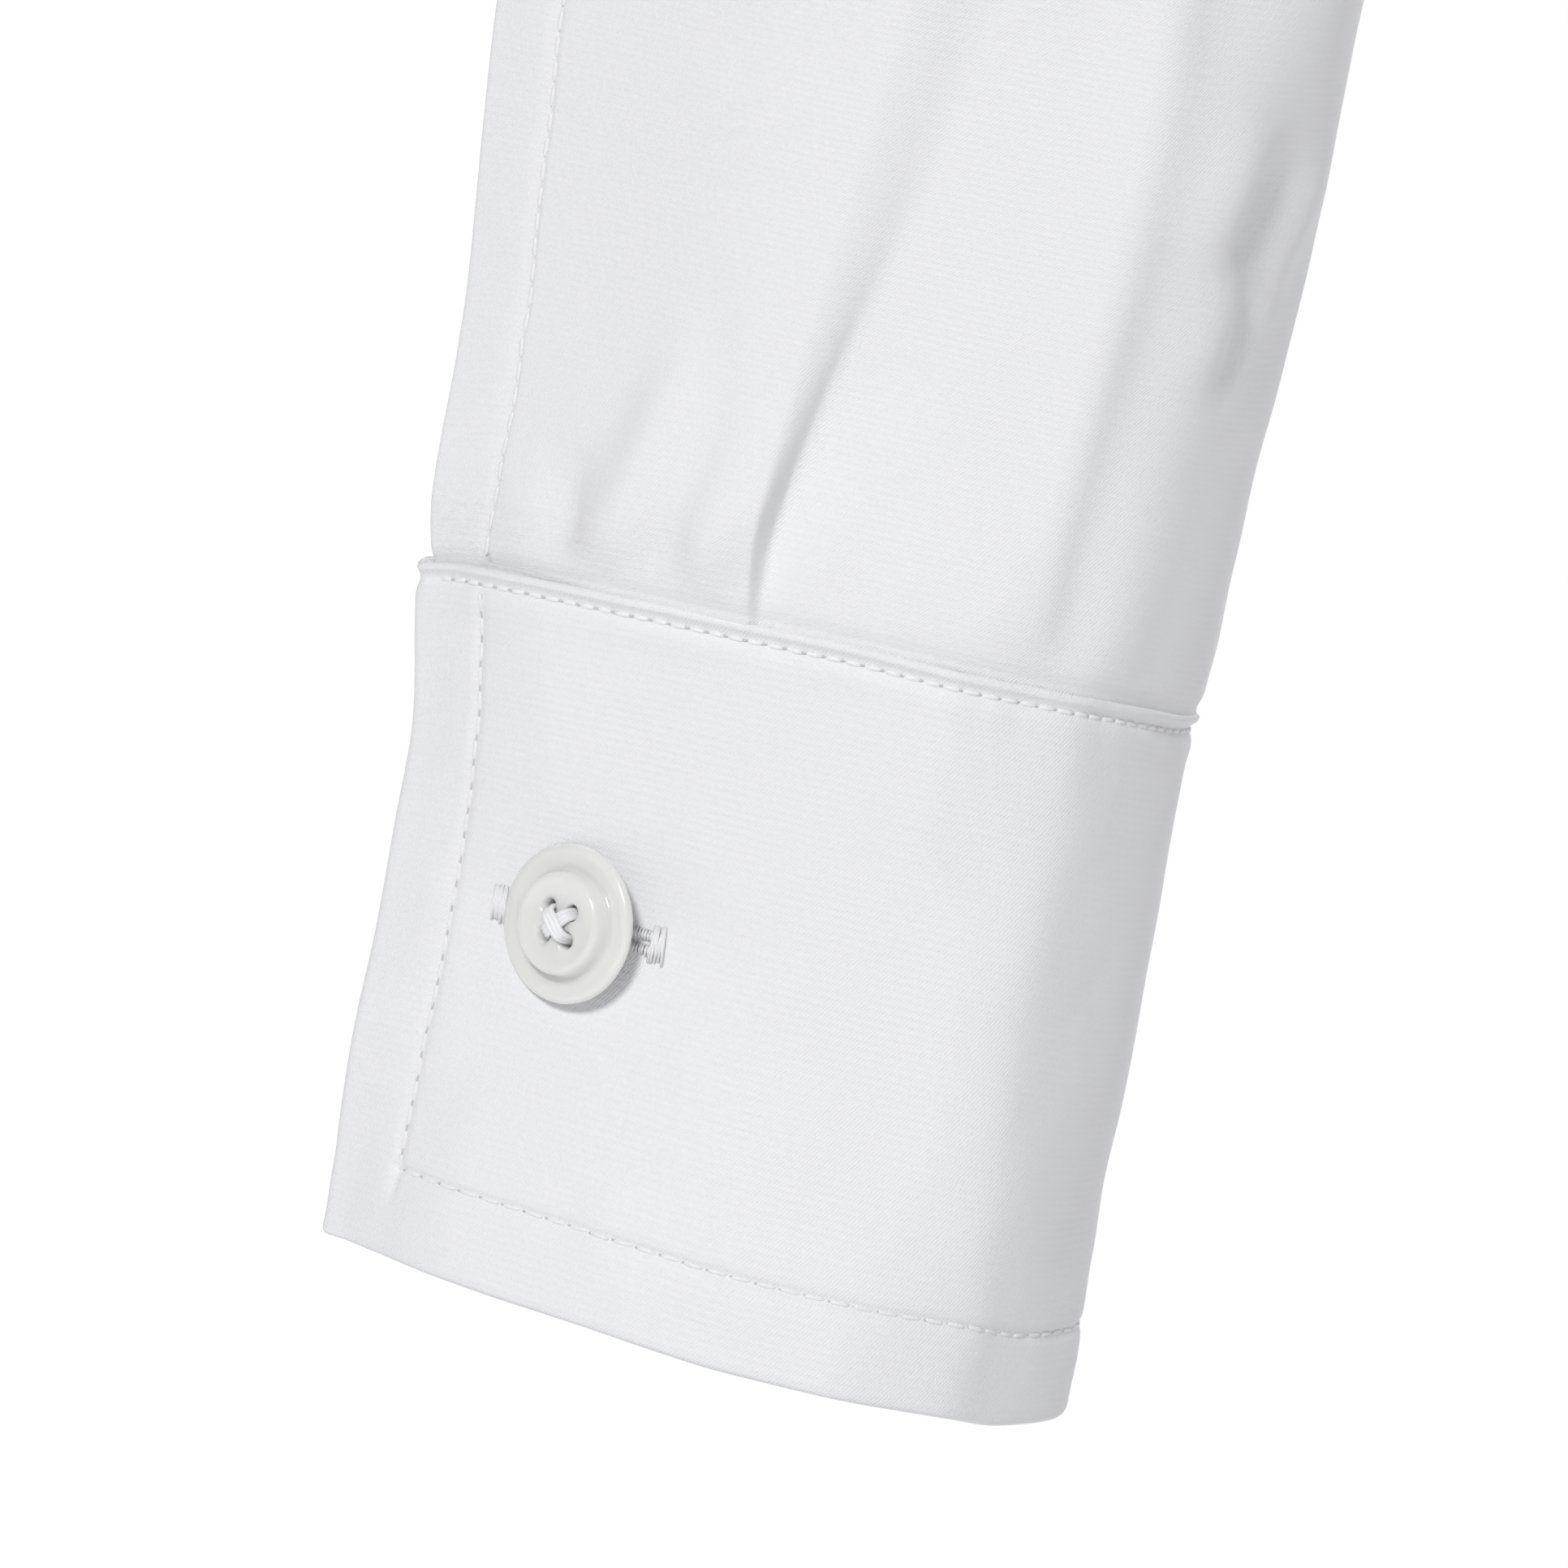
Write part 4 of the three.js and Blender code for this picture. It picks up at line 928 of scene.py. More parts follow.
def stitch_tree():
    """Lays stitches along the lines of a mesh. Its sizes are in metres."""
    tree = bpy.data.node_groups.new("stitches", "GeometryNodeTree")
    face = tree.interface
    face.new_socket("Geometry", in_out="INPUT", socket_type="NodeSocketGeometry")
    for name, default in (("Pitch", 0.002), ("Length", 0.0018), ("Radius", 0.0002), ("Tilt", 0.06)):
        socket = face.new_socket(name, in_out="INPUT", socket_type="NodeSocketFloat")
        socket.default_value = default
    face.new_socket("Seed", in_out="INPUT", socket_type="NodeSocketInt").default_value = 3
    face.new_socket("Stitch", in_out="INPUT", socket_type="NodeSocketObject")
    face.new_socket("Material", in_out="INPUT", socket_type="NodeSocketMaterial")
    face.new_socket("Geometry", in_out="OUTPUT", socket_type="NodeSocketGeometry")
    nodes, links = tree.nodes, tree.links
    start, end = nodes.new("NodeGroupInput"), nodes.new("NodeGroupOutput")
    curve = nodes.new("GeometryNodeMeshToCurve")
    points = nodes.new("GeometryNodeCurveToPoints")
    points.mode = "LENGTH"
    info = nodes.new("GeometryNodeObjectInfo")
    place = nodes.new("GeometryNodeInstanceOnPoints")
    shape = nodes.new("ShaderNodeCombineXYZ")
    realize = nodes.new("GeometryNodeRealizeInstances")
    paint = nodes.new("GeometryNodeSetMaterial")
    smooth = nodes.new("GeometryNodeSetShadeSmooth")
    turn = nodes.new("FunctionNodeRandomValue")
    turn.data_type = "FLOAT_VECTOR"
    low = nodes.new("ShaderNodeCombineXYZ")
    high = nodes.new("ShaderNodeCombineXYZ")
    minus = nodes.new("ShaderNodeMath")
    minus.operation = "MULTIPLY"
    minus.inputs[1].default_value = -1
    to_rotation = nodes.new("FunctionNodeEulerToRotation")
    rotate = nodes.new("FunctionNodeRotateRotation")
    rotate.rotation_space = "LOCAL"
    links.new(start.outputs["Tilt"], minus.inputs[0])
    for k in (0, 1):
        links.new(minus.outputs[0], low.inputs[k])
        links.new(start.outputs["Tilt"], high.inputs[k])
    links.new(low.outputs[0], turn.inputs[0])
    links.new(high.outputs[0], turn.inputs[1])
    links.new(start.outputs["Seed"], turn.inputs["Seed"])
    links.new(turn.outputs[0], to_rotation.inputs[0])
    links.new(start.outputs["Geometry"], curve.inputs[0])
    links.new(curve.outputs[0], points.inputs[0])
    links.new(start.outputs["Pitch"], points.inputs["Length"])
    links.new(start.outputs["Stitch"], info.inputs[0])
    links.new(points.outputs["Points"], place.inputs["Points"])
    links.new(info.outputs["Geometry"], place.inputs["Instance"])
    links.new(points.outputs["Rotation"], rotate.inputs[0])
    links.new(to_rotation.outputs[0], rotate.inputs[1])
    links.new(rotate.outputs[0], place.inputs["Rotation"])
    for k in (0, 1):
        links.new(start.outputs["Radius"], shape.inputs[k])
    links.new(start.outputs["Length"], shape.inputs[2])
    links.new(shape.outputs[0], place.inputs["Scale"])
    links.new(place.outputs[0], realize.inputs[0])
    links.new(realize.outputs[0], smooth.inputs[0])
    links.new(smooth.outputs[0], paint.inputs[0])
    links.new(start.outputs["Material"], paint.inputs["Material"])
    links.new(paint.outputs[0], end.inputs[0])
    return tree


def set_inputs(modifier, values):
    """Sets a modifier's inputs, which it keeps by the sockets' identifiers."""
    for item in modifier.node_group.interface.items_tree:
        if item.item_type == "SOCKET" and item.in_out == "INPUT" and item.name in values:
            modifier[item.identifier] = values[item.name]


def sew(name, lines, pitch, length, radius, tilt=0.06, seed=3, material="thread"):
    """A piece of plain mesh with a stitch at each pitch along the lines, given in millimetres."""
    if "stitches" not in bpy.data.node_groups:
        stitch_tree()
        model = add_object("stitch_model", stitch_mesh())
    model = bpy.data.objects["stitch_model"]
    vertices, edges = [], []
    for line in lines:
        base = len(vertices)
        vertices += [tuple(v) for v in np.asarray(line) * MM]
        edges += [(base + k, base + k + 1) for k in range(len(line) - 1)]
    mesh = bpy.data.meshes.new(name + "_path")
    mesh.from_pydata(vertices, edges, [])
    path = add_object(name + "_path", mesh)
    modifier = path.modifiers.new("stitches", "NODES")
    modifier.node_group = bpy.data.node_groups["stitches"]
    values = {
        "Pitch": pitch * MM,
        "Length": length * MM,
        "Radius": radius * MM,
        "Tilt": tilt,
        "Seed": seed,
        "Stitch": model,
        "Material": material_of(material),
    }
    set_inputs(modifier, values)
    graph = bpy.context.evaluated_depsgraph_get()
    made = bpy.data.meshes.new_from_object(path.evaluated_get(graph), depsgraph=graph)
    bpy.data.objects.remove(path)
    made.name = name
    obj = add_object(name, made)
    if not len(made.polygons):
        raise RuntimeError(f"{name} has no stitches")
    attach(obj, "root")


def topstitch(name, line, pitch, length, radius, seed):
    """A line of stitches, with a short grey capsule between each and the next as painted shade of a needle
    hole.
    """
    sew(name, [line], pitch, length, radius, seed=seed)
    steps = np.concatenate([[0], np.cumsum(np.linalg.norm(np.diff(line, axis=0), axis=1))])
    at = np.arange(pitch / 2, steps[-1], 0.25)
    between = np.stack([np.interp(at, steps, line[:, k]) for k in range(3)], axis=1)
    # Painted shade: grey capsules between the stitches, where a needle hole's shadow falls.
    sew(f"{name}_holes", [between], pitch, 0.75, radius * 0.6, 0.1, seed, material="hole")


def drop_stitch_model():
    model = bpy.data.objects.get("stitch_model")
    if model:
        bpy.data.objects.remove(model)


# ---- Body pieces ----
def body_grid(facing, centre_x, rows, shares):
    return np.array([body_line(facing, row, shares, centre_x) for row in rows])


def shirt_inside(p):
    """A point inside the body, level with each point."""
    inside = np.zeros_like(p)
    inside[..., 2] = np.clip(p[..., 2], -520, -60)
    return inside


def dense(low, high, count, power=0.75):
    """Values from low to high, closer together at both ends."""
    t = np.linspace(-1, 1, count)
    t = np.sign(t) * np.abs(t) ** power
    return low + (high - low) * (t + 1) / 2


EDGE_STEPS = np.array([0.0, 0.07, 0.18, 0.35, 0.62, 1.0, 1.6, 2.4, 3.4])


def edged(low, high, count, length):
    """Values from low to high, evenly apart but close beside both ends, which are length mm apart."""
    near = EDGE_STEPS / length * (high - low)
    step = (high - low) / count
    inner = np.linspace(low, high, count + 1)
    inner = inner[(inner > low + near[-1] + 0.4 * step) & (inner < high - near[-1] - 0.4 * step)]
    return np.concatenate([low + near, inner, (high - near)[::-1]])


def stand_out(p, facing):
    """Moves a grid of body points out by the folds, less so at its edges."""
    n = grid_normals(p, shirt_inside)
    calm = ease(edge_distance(p, EDGES), 0, 18)
    return p + n * (body_folds(facing, p) * calm)[..., None]


def sink_edges(p, inside, edges, depth=0.7, reach=2.2):
    """Turns a grid's edges in a little, as a pressed seam does."""
    n = grid_normals(p, inside)
    d = edge_distance(p, edges)
    return p - n * (depth * bell(d, reach))[..., None]


def both_halves(left):
    """A grid of a left half, joined along its first column to its own mirror image."""
    right = left[:, ::-1].copy()
    right[..., 0] *= -1
    return np.concatenate([right[:, :-1], left], axis=1)


def whole_back():
    """The back, as one grid from the right edge to the left."""
    shares = edged(0, 1, 50, 200)
    shares = shares[(shares == 0) | (shares > 0.012)]
    return both_halves(body_grid("back", 0.0, edged(0, BODY_ROWS, 120, 470), shares))


class SHIRT_OT_body(bpy.types.Operator):
    """Make the fronts, the band and the back"""

    bl_idname = "shirt.body"
    bl_label = "Body"

    def execute(self, context):
        sateen = material_of("sateen")
        rows, shares = edged(0, BODY_ROWS, 130, 470), edged(0, 1, 56, 200)
        for side in SIDES:
            left = side == "left"
            start = 0.0 if left else BAND_HALF
            p = body_grid("front", start, rows, shares)
            if left:
                under = 1 - ease(p[..., 0], BAND_HALF, BAND_HALF + 9)
                below = (1 - ease(rows, NECK_ROW - 0.2, NECK_ROW + 0.6))[:, None]
                p[..., 1] += under * 2.2 * below
            p = sink_edges(stand_out(p, "front"), shirt_inside, EDGES, 0.25)
            cloth = Cloth(f"shirt_front_{side}", p, 0.9, shirt_inside, EDGES, weave_lines(p))
            obj = cloth.build(mirrored=not left)
            finish_cloth(obj, sateen, cloth, [f"front_{side}"])
        p = sink_edges(stand_out(whole_back(), "back"), shirt_inside, EDGES, 0.25)
        cloth = Cloth("shirt_back", p, 0.9, shirt_inside, EDGES, weave_lines(p))
        finish_cloth(cloth.build(), sateen, cloth, ["back"])
        self.band()
        return {"FINISHED"}

    def band(self):
        """The buttonhole band, with a line of stitches 6 mm in from each of its long edges."""
        rows = edged(0, NECK_ROW + 0.02, 150, 400)
        middle = np.array([body_line("front", row, np.array([0.0]))[0] for row in rows])
        x = np.concatenate([[-13, -12.9, -12.7, -12.4, -12], np.arange(-11.4, 11.5, 0.95),
                            [12, 12.4, 12.7, 12.9, 13]]) / 13 * BAND_HALF
        p = np.repeat(middle[:, None], len(x), axis=1)
        p[..., 0] = x
        groove = bell(np.abs(x) - (BAND_HALF - 6), 0.7)
        ripple = wander(31)(p[..., 2] / 4.2)
        p[..., 1] -= BAND_PROUD + 0.12 * ripple - 0.18 * groove
        cloth = Cloth("front_band_cloth", p, 1.4, shirt_inside, EDGES, weave_lines(p))
        finish_cloth(cloth.build(), material_of("sateen"), cloth, ["front_band"])
        lines = []
        for sign in (-1, 1):
            line = middle.copy()
            line[:, 0] = sign * (BAND_HALF - 6)
            line[:, 1] -= BAND_PROUD
            lines.append(line[2:-2])
        sew("front_band_stitches", lines, 2.0, 1.7, 0.17)


# ---- Sleeves and cuffs ----
def column_offsets(length, step, fine, growth=1.22):
    """Distances from a fold's line to length, fine beside the line and a step apart further off."""
    out, gap = [0.0], fine
    while out[-1] + gap < length:
        out.append(out[-1] + gap)
        gap = min(gap * growth, step)
    return np.array(out) * (length / out[-1])


def pleat_line(above):
    return PLEAT["share"] + PLEAT["drift"] * ease(above, 0, PLEAT["rise"])


def sleeve_folds(at, share, seed):
    """How far a sleeve's cloth stands out by its soft folds."""
    field = wander_field(seed, 9)
    out = 0.35 * field(at / 22, share * 9) * ease(CUFF_SEAM - at, 4, 40)
    for fold in SLEEVE_FOLDS:
        middle = (fold["at0"] + fold["at1"]) / 2
        girth = float(np.pi * (wide_at(middle) + deep_at(middle)))
        line = (fold["at0"], fold["round0"] * girth, fold["at1"], fold["round1"] * girth)
        for turn in (-1, 0, 1):
            height = fold["height"] * (1.5 if middle < 380 else 1)
            out = out + ridge(at, (share + turn) * girth, *line, fold["width"], height)
    return out


def sleeve_point(at, share, seed=5):
    """Outer points of the left sleeve below its cap."""
    at, share = np.broadcast_arrays(np.asarray(at, float), np.asarray(share, float))
    above = CUFF_SEAM - at
    at = at + cuff_top(share * LAP_LENGTH) * ease(at, CUFF_SEAM - 60, CUFF_SEAM)
    opened = 1 - ease(above, SLIT - 30, SLIT - 1)
    lapped = np.clip((share - 0.9) / 0.1, 0, 1) ** 1.3 * 0.07 * opened
    tear = tear_at(at)
    line = pleat_line(above)
    off = (share - line) * LAP_LENGTH
    fade = 0.25 + 0.75 * ease(above, -1, 9)
    fade = fade * (1 - 0.35 * ease(above, 10, 50) - 0.35 * ease(above, 40, PLEAT["rise"]))
    lift = PLEAT["lift"] * fade
    edge = mix(0.8, 5.0, ease(above, 1, 40))
    step = lift * (0.3 + 0.7 * ease(off, -20, -1.0)) * (1 - ease(off, -0.3 * edge, edge))
    step = step * ease(off, -34, -10) - 0.3 * lift * bell(off - 1.6 * edge, 1.2 * edge)
    tuck = PLEAT["tuck"] * fade * bell(off - edge, 0.9 + 0.2 * edge) * (1 - ease(above, 25, 60))
    base = section(at, share + lapped - tuck / LAP_LENGTH, wide_at(at), deep_at(at), tear, opened)
    centre, _, _ = arm_frame(at)
    away = unit(base - centre)
    hem = slit_hem(above, share, opened)
    # The last of the sleeve is drawn in to the seam and then turns under the cuff.
    drawn = -0.4 * bell(above, 0.9)
    pressed = 0.12 + 0.88 * ease(above, 0.2, 5)
    puckers = 0.3 * wander(seed + 40)(share * 47) * bell(above - 1, 7)
    puckers = puckers + 0.5 * wander(seed + 41)(share * 23) * bell(above - 7, 9)
    along = share * LAP_LENGTH
    held = ease(along, 1, 14) * (1 - ease(along, 45, 55)) * 1.8 * (1 - ease(above, -1, 24))
    out = step + drawn + hem + held + pressed * (puckers + sleeve_folds(at, share, seed))
    sunk = -3.2 * opened * (1 - tear) * np.clip((share - 0.9) / 0.1, 0, 1) ** 1.3
    return base + away * (out + sunk)[..., None]


def slit_hem(above, share, opened):
    """The turned hem along the slit: a groove at its stitching and a slight swell outside it."""
    at = share * LAP_LENGTH
    groove = -0.42 * bell(at - HEM_WIDTH, 0.42) + 0.16 * bell(at - HEM_WIDTH + 2.4, 1.8)
    ripple = 0.14 * wander(77)(above / 3.1) * bell(at - HEM_WIDTH + 1, 3.4)
    return (groove + ripple) * opened


def sleeve_cap(share, t):
    """Points of the sleeve's cap, from the armhole at t = 0 to a plain tube at t = 1."""
    degrees = (540 - 360 * share) % 360
    start = armhole(degrees)
    end = section(CAP_END, share, wide_at(CAP_END), deep_at(CAP_END), 0.0, 0.0)
    reach = np.linalg.norm(end - start, axis=-1, keepdims=True)
    rise = (1 - np.cos(np.radians(degrees))) / 2
    leave = np.stack(
        [mix(0.6, 0.95, rise), -0.3 * np.sin(np.radians(degrees)), mix(-0.8, -0.3, rise)], axis=-1
    )
    leave = unit(leave)
    h = (2 * t**3 - 3 * t**2 + 1, t**3 - 2 * t**2 + t, 3 * t**2 - 2 * t**3, t**3 - t**2)
    p = start * h[0] + leave * reach * 1.05 * h[1] + end * h[2] + UPPER_DOWN * reach * h[3]
    return p + leave * (SEAM * (1 - ease(t, 0, 0.5)))


def sleeve_grid(near):
    """Rows of (distance, grid) for a sleeve. near is the finer one."""
    step, fine = (1.0, 0.16) if near else (2.6, 0.4)
    line = PLEAT["share"] * LAP_LENGTH
    before = line - column_offsets(line, step, fine)[::-1]
    after = line + column_offsets(LAP_LENGTH - line, step, fine)[1:]
    close = np.array([0.12, 0.3, 0.55, 0.9, 1.4])
    hem = np.arange(HEM_WIDTH * 0.72, HEM_WIDTH + 1.3, 0.28 if near else 0.5)
    columns = np.concatenate([before, after, close, hem, LAP_LENGTH - close])
    columns = np.array(sorted(set(np.round(columns, 4)))) / LAP_LENGTH
    caps = edged(0, 1, 22, 90)
    caps = caps[caps < 0.97]
    upper = np.concatenate(
        [
            np.arange(CAP_END, CUFF_SEAM - SLIT - 4, 4.0 if near else 5.0),
            np.arange(CUFF_SEAM - SLIT - 4, CUFF_SEAM - 70, 2.0 if near else 3.0),
        ]
    )
    lower = np.arange(CUFF_SEAM - 70, CUFF_SEAM - 4, 1.0 if near else 2.4)
    last = CUFF_SEAM - np.array([3.4, 2.7, 2.1, 1.6, 1.2, 0.9, 0.6, 0.35, 0.15, 0.0, -0.3, -0.6])
    return columns, caps, np.concatenate([upper, lower, last])


def arm_inside(p):
    """The arm's centre beside each point."""
    middle = p.mean(axis=1, keepdims=True)
    return np.repeat(middle, p.shape[1], axis=1)


def make_sleeve(side):
    near = side == "right"
    columns, caps, rows = sleeve_grid(near)
    seed = 5 if near else 8
    # The pleat's line moves round as it rises, and the columns go with it.
    grid = [sleeve_cap(columns, t) for t in caps]
    for at in rows:
        line = float(pleat_line(CUFF_SEAM - at))
        base = PLEAT["share"]
        share = np.where(
            columns < base,
            columns * line / base,
            line + (columns - base) * (1 - line) / (1 - base),
        )
        calm = float(ease(at, CAP_END, CAP_END + 30))
        share = mix(columns, share, calm)
        grid.append(sleeve_point(at, share, seed))
    p = np.array(grid)
    above = CUFF_SEAM - rows
    weld = len(caps) + int((above > SLIT - 1).sum())
    p = sink_edges(p, arm_inside, ("first_row",), 0.25)
    weave = weave_lines(p)
    cloth = Cloth(f"shirt_sleeve_{side}", p, 0.75, arm_inside, EDGES, weave, weld)
    obj = cloth.build(mirrored=near)
    finish_cloth(obj, material_of("sateen"), cloth, [f"sleeve_{side}"])
    # Stitching down the slit's hem.
    at = np.arange(CUFF_SEAM - SLIT + 6, CUFF_SEAM - 1.0, 0.5)
    line = sleeve_point(at, np.full(len(at), HEM_WIDTH / LAP_LENGTH), seed)
    if near:
        line[:, 0] *= -1
    topstitch(f"sleeve_{side}_stitches", line, 2.0, 1.6, 0.21, seed)


def cuff_corner(down, along):
    """How far the overlapping end is drawn in to round its two corners."""
    near = np.minimum(down, CUFF_HEIGHT - down)
    across_ = 1 - np.clip(near / CORNER, 0, 1)
    return CORNER * (1 - np.sqrt(1 - across_**2)) * (1 - ease(along, 0, 5))


def inner_way(at):
    return arm_frame(at)[1]


# How far the cuff's upper and lower edges lie below those of a plain tube, along the cuff.
CUFF_EDGES = [
    {"along": 0, "top": -0.95, "foot": -0.2},
    {"along": 5, "top": -1.9, "foot": 0.0},
    {"along": 14, "top": -2.5, "foot": 0.45},
    {"along": 26, "top": -2.8, "foot": 1.3},
    {"along": 36, "top": -2.75, "foot": 2.3},
    {"along": 45, "top": -2.3, "foot": 2.9},
    {"along": 56, "top": -1.6, "foot": 3.5},
    {"along": 64, "top": -0.8, "foot": 4.3},
    {"along": 72, "top": 0.1, "foot": 4.2},
    {"along": 90, "top": 0.8, "foot": 2.2},
    {"along": 125, "top": 0.2, "foot": 0.2},
    {"along": 200, "top": -0.95, "foot": -0.2},
]
cuff_top = reader(CUFF_EDGES, "along", "top")
cuff_foot = reader(CUFF_EDGES, "along", "foot")


def cuff_point(down, along, seed=5):
    """Outer points of the left cuff: down from its seam, and along it from the overlapping end."""
    down, along = np.broadcast_arrays(np.asarray(down, float), np.asarray(along, float))
    fraction = down / CUFF_HEIGHT
    at = CUFF_SEAM + down + cuff_top(along) * (1 - fraction) + cuff_foot(along) * fraction
    share = (along + cuff_corner(down, along)) / LAP_LENGTH
    base = section(at, share, CUFF_WIDE, CUFF_DEEP, 1.0)
    step = 0.15 / LAP_LENGTH
    ahead = section(at, share + step, CUFF_WIDE, CUFF_DEEP, 1.0)
    lower = section(at + 0.15, share, CUFF_WIDE, CUFF_DEEP, 1.0)
    normal = unit(np.cross(ahead - base, lower - base))
    flare = 1.7 * (1 - ease(down, 0, 15)) * (1 - ease(along, 0, 26))
    base = base - inner_way(at) * flare[..., None]
    covered = ease(along, LAP_LENGTH - 4, LAP_LENGTH + 4)
    return base + normal * (cuff_relief(down, along, seed) * (1 - covered))[..., None]


def cuff_relief(down, along, seed):
    """The cuff's rolled edges, its stitching's grooves and puckers, and its soft unevenness."""
    up = CUFF_HEIGHT - down
    out = 0.42 * bell(down - 0.6, 0.55) - 0.34 * bell(down - TOP_STITCH + 0.15, 0.5)
    out = out + 0.14 * bell(down - TOP_STITCH - 1.3, 0.9)
    pulls = wander(seed + 60)(along / 1.6)
    out = out + 0.1 * pulls * bell(down - TOP_STITCH, 2.4)
    corner = ease(down, 0, 5)
    side = -0.34 * bell(along - MARGIN, 0.42) * corner * (1 - ease(up, MARGIN - 1, MARGIN - 3))
    side = side + 0.1 * bell(along - MARGIN + 2.4, 1.8) + 0.08 * bell(along - MARGIN - 2.2, 1.6)
    side = side + 0.16 * wander(seed + 61)(down / 2.9) * bell(along - MARGIN + 0.5, 3.2)
    foot = -0.34 * bell(up - MARGIN, 0.42) * ease(along, MARGIN - 1, MARGIN)
    foot = foot + 0.1 * bell(up - MARGIN + 2.4, 1.8) + 0.08 * bell(up - MARGIN - 2.2, 1.6)
    foot = foot + 0.16 * wander(seed + 62)(along / 2.9) * bell(up - MARGIN + 0.5, 3.2)
    out = out + side * (along > 0) + foot
    # The sleeve's bulk holds the upper edge out, and the lower edge stands off the wrist.
    face = ease(along, 1, 14) * (1 - ease(along, 45, 55))
    out = out + face * (1.9 * (1 - ease(down, 1, 24)) + 2.0 * ease(down, 26, 57))
    field = wander_field(seed + 63)
    out = out + 0.42 * field(along / 12 + 9, down / 13 + 9) + 0.1 * field(along / 4.6, down / 5.2)
    # The buttonhole dimples the cloth, and draws it in beyond the button.
    dx, dy = along - BUTTON_ALONG, down - BUTTON_DOWN
    out = out - 0.5 * bell(np.hypot(dx, dy), 7.5)
    out = out - 0.45 * np.exp(-((dx - 9.5) / 5) ** 2 - ((dy + 1.0) / 3.2) ** 2)
    return out


def make_cuff(side):
    near = side == "right"
    seed = CUFF_SEED[side]
    strip = LAP_LENGTH * (1 + CUFF_LAP)
    step = 0.8 if near else 1.8
    along = spaced(strip, step, (0, 1))
    down = spaced(CUFF_HEIGHT, step, (0, 1))
    extra = np.arange(0.2, 3.6, 0.2) if near else np.arange(0.3, 3.6, 0.5)
    stitch = np.arange(MARGIN - 1.2, MARGIN + 1.3, 0.3 if near else 0.6)
    down = np.array(sorted(set(np.round(np.concatenate([down, extra, CUFF_HEIGHT - stitch]), 3))))
    along = np.array(sorted(set(np.round(np.concatenate([along, stitch]), 3))))
    along = along[np.concatenate([[True], np.diff(along) > 0.05])]
    down = down[np.concatenate([[True], np.diff(down) > 0.05])]
    p = cuff_point(down[:, None], along[None, :], seed)
    weave = np.stack(np.broadcast_arrays(along[None, :], down[:, None]), axis=-1).astype(float)
    cloth = Cloth(f"shirt_cuff_{side}", p, 1.5, arm_inside, EDGES, weave)
    cloth.normals = cuff_normals(p)
    obj = cloth.build(mirrored=near)
    finish_cloth(obj, material_of("sateen"), cloth, [f"cuff_{side}"])
    round_ = np.arange(3.0, LAP_LENGTH + 6, 0.5)
    top = cuff_point(np.full(len(round_), TOP_STITCH), round_, seed)
    drop = np.arange(3.0, CUFF_HEIGHT - MARGIN + 0.01, 0.5)
    end = cuff_point(drop, np.full(len(drop), MARGIN), seed)
    foot_at = np.arange(MARGIN, LAP_LENGTH + 2, 0.5)
    foot = cuff_point(np.full(len(foot_at), CUFF_HEIGHT - MARGIN), foot_at, seed)
    for line in (top, end, foot):
        if near:
            line[:, 0] *= -1
    topstitch(f"cuff_{side}_edge_stitches", top, 1.6, 1.25, 0.22, seed)
    topstitch(f"cuff_{side}_stitches", np.vstack([end, foot]), 2.0, 1.6, 0.21, seed + 1)


def cuff_normals(p):
    """Normals of a cuff's grid, forwards at its front."""
    normal = unit(np.cross(np.gradient(p, axis=0), np.gradient(p, axis=1)))
    if normal[p.shape[0] // 2, p.shape[1] // 5, 1] > 0:
        normal = -normal
    return normal


class SHIRT_OT_sleeves(bpy.types.Operator):
    """Make the sleeves, with their pleats and slits"""

    bl_idname = "shirt.sleeves"
    bl_label = "Sleeves"

    def execute(self, context):
        for side in SIDES:
            make_sleeve(side)
        return {"FINISHED"}


class SHIRT_OT_cuffs(bpy.types.Operator):
    """Make the cuffs and their stitching"""

    bl_idname = "shirt.cuffs"
    bl_label = "Cuffs"

    def execute(self, context):
        for side in SIDES:
            make_cuff(side)
        return {"FINISHED"}


# ---- Collar ----
def stand_point(degrees, up, out=0.0):
    base = neckline(np.where(np.abs(degrees) > 180, 360 - np.abs(degrees), np.abs(degrees)))
    base[..., 0] = np.where(degrees < 0, -base[..., 0], base[..., 0])
    angle = np.radians(degrees)
    lean = -3 * (up / STAND_HEIGHT) + out
    base[..., 0] += np.sin(angle) * lean
    base[..., 1] += -np.cos(angle) * lean
    base[..., 2] += up
    return base


def collar_inside(p):
    inside = np.zeros_like(p)
    inside[..., 2] = p[..., 2] - 10
    return inside


fall_at = reader(LEAF, "angle", "fall")
out_at = reader(LEAF, "angle", "out")
LEAF_ROLL = 4.0


def leaf_point(share, t):
    """The collar leaf: share from -1, right front, round the back, to 1; t from the roll down."""
    end_angle = mix(3.0, 30.0, t)
    around = mix(180.0, end_angle, np.abs(share))
    angle = np.where(share < 0, -around, around)
    top = stand_point(angle, np.full_like(angle, STAND_HEIGHT + 1.6), -2.2)
    turn = np.radians(angle)
    roll = ease(t, 0, 0.12)
    spread = LEAF_ROLL * roll + (out_at(around) - LEAF_ROLL) * t**0.9
    drop = fall_at(around) * t**1.12 - 2.5 * (1 - t) * roll
    top[..., 0] += np.sin(turn) * spread
    top[..., 1] += -np.cos(turn) * spread
    top[..., 2] += 2.2 - drop
    return top


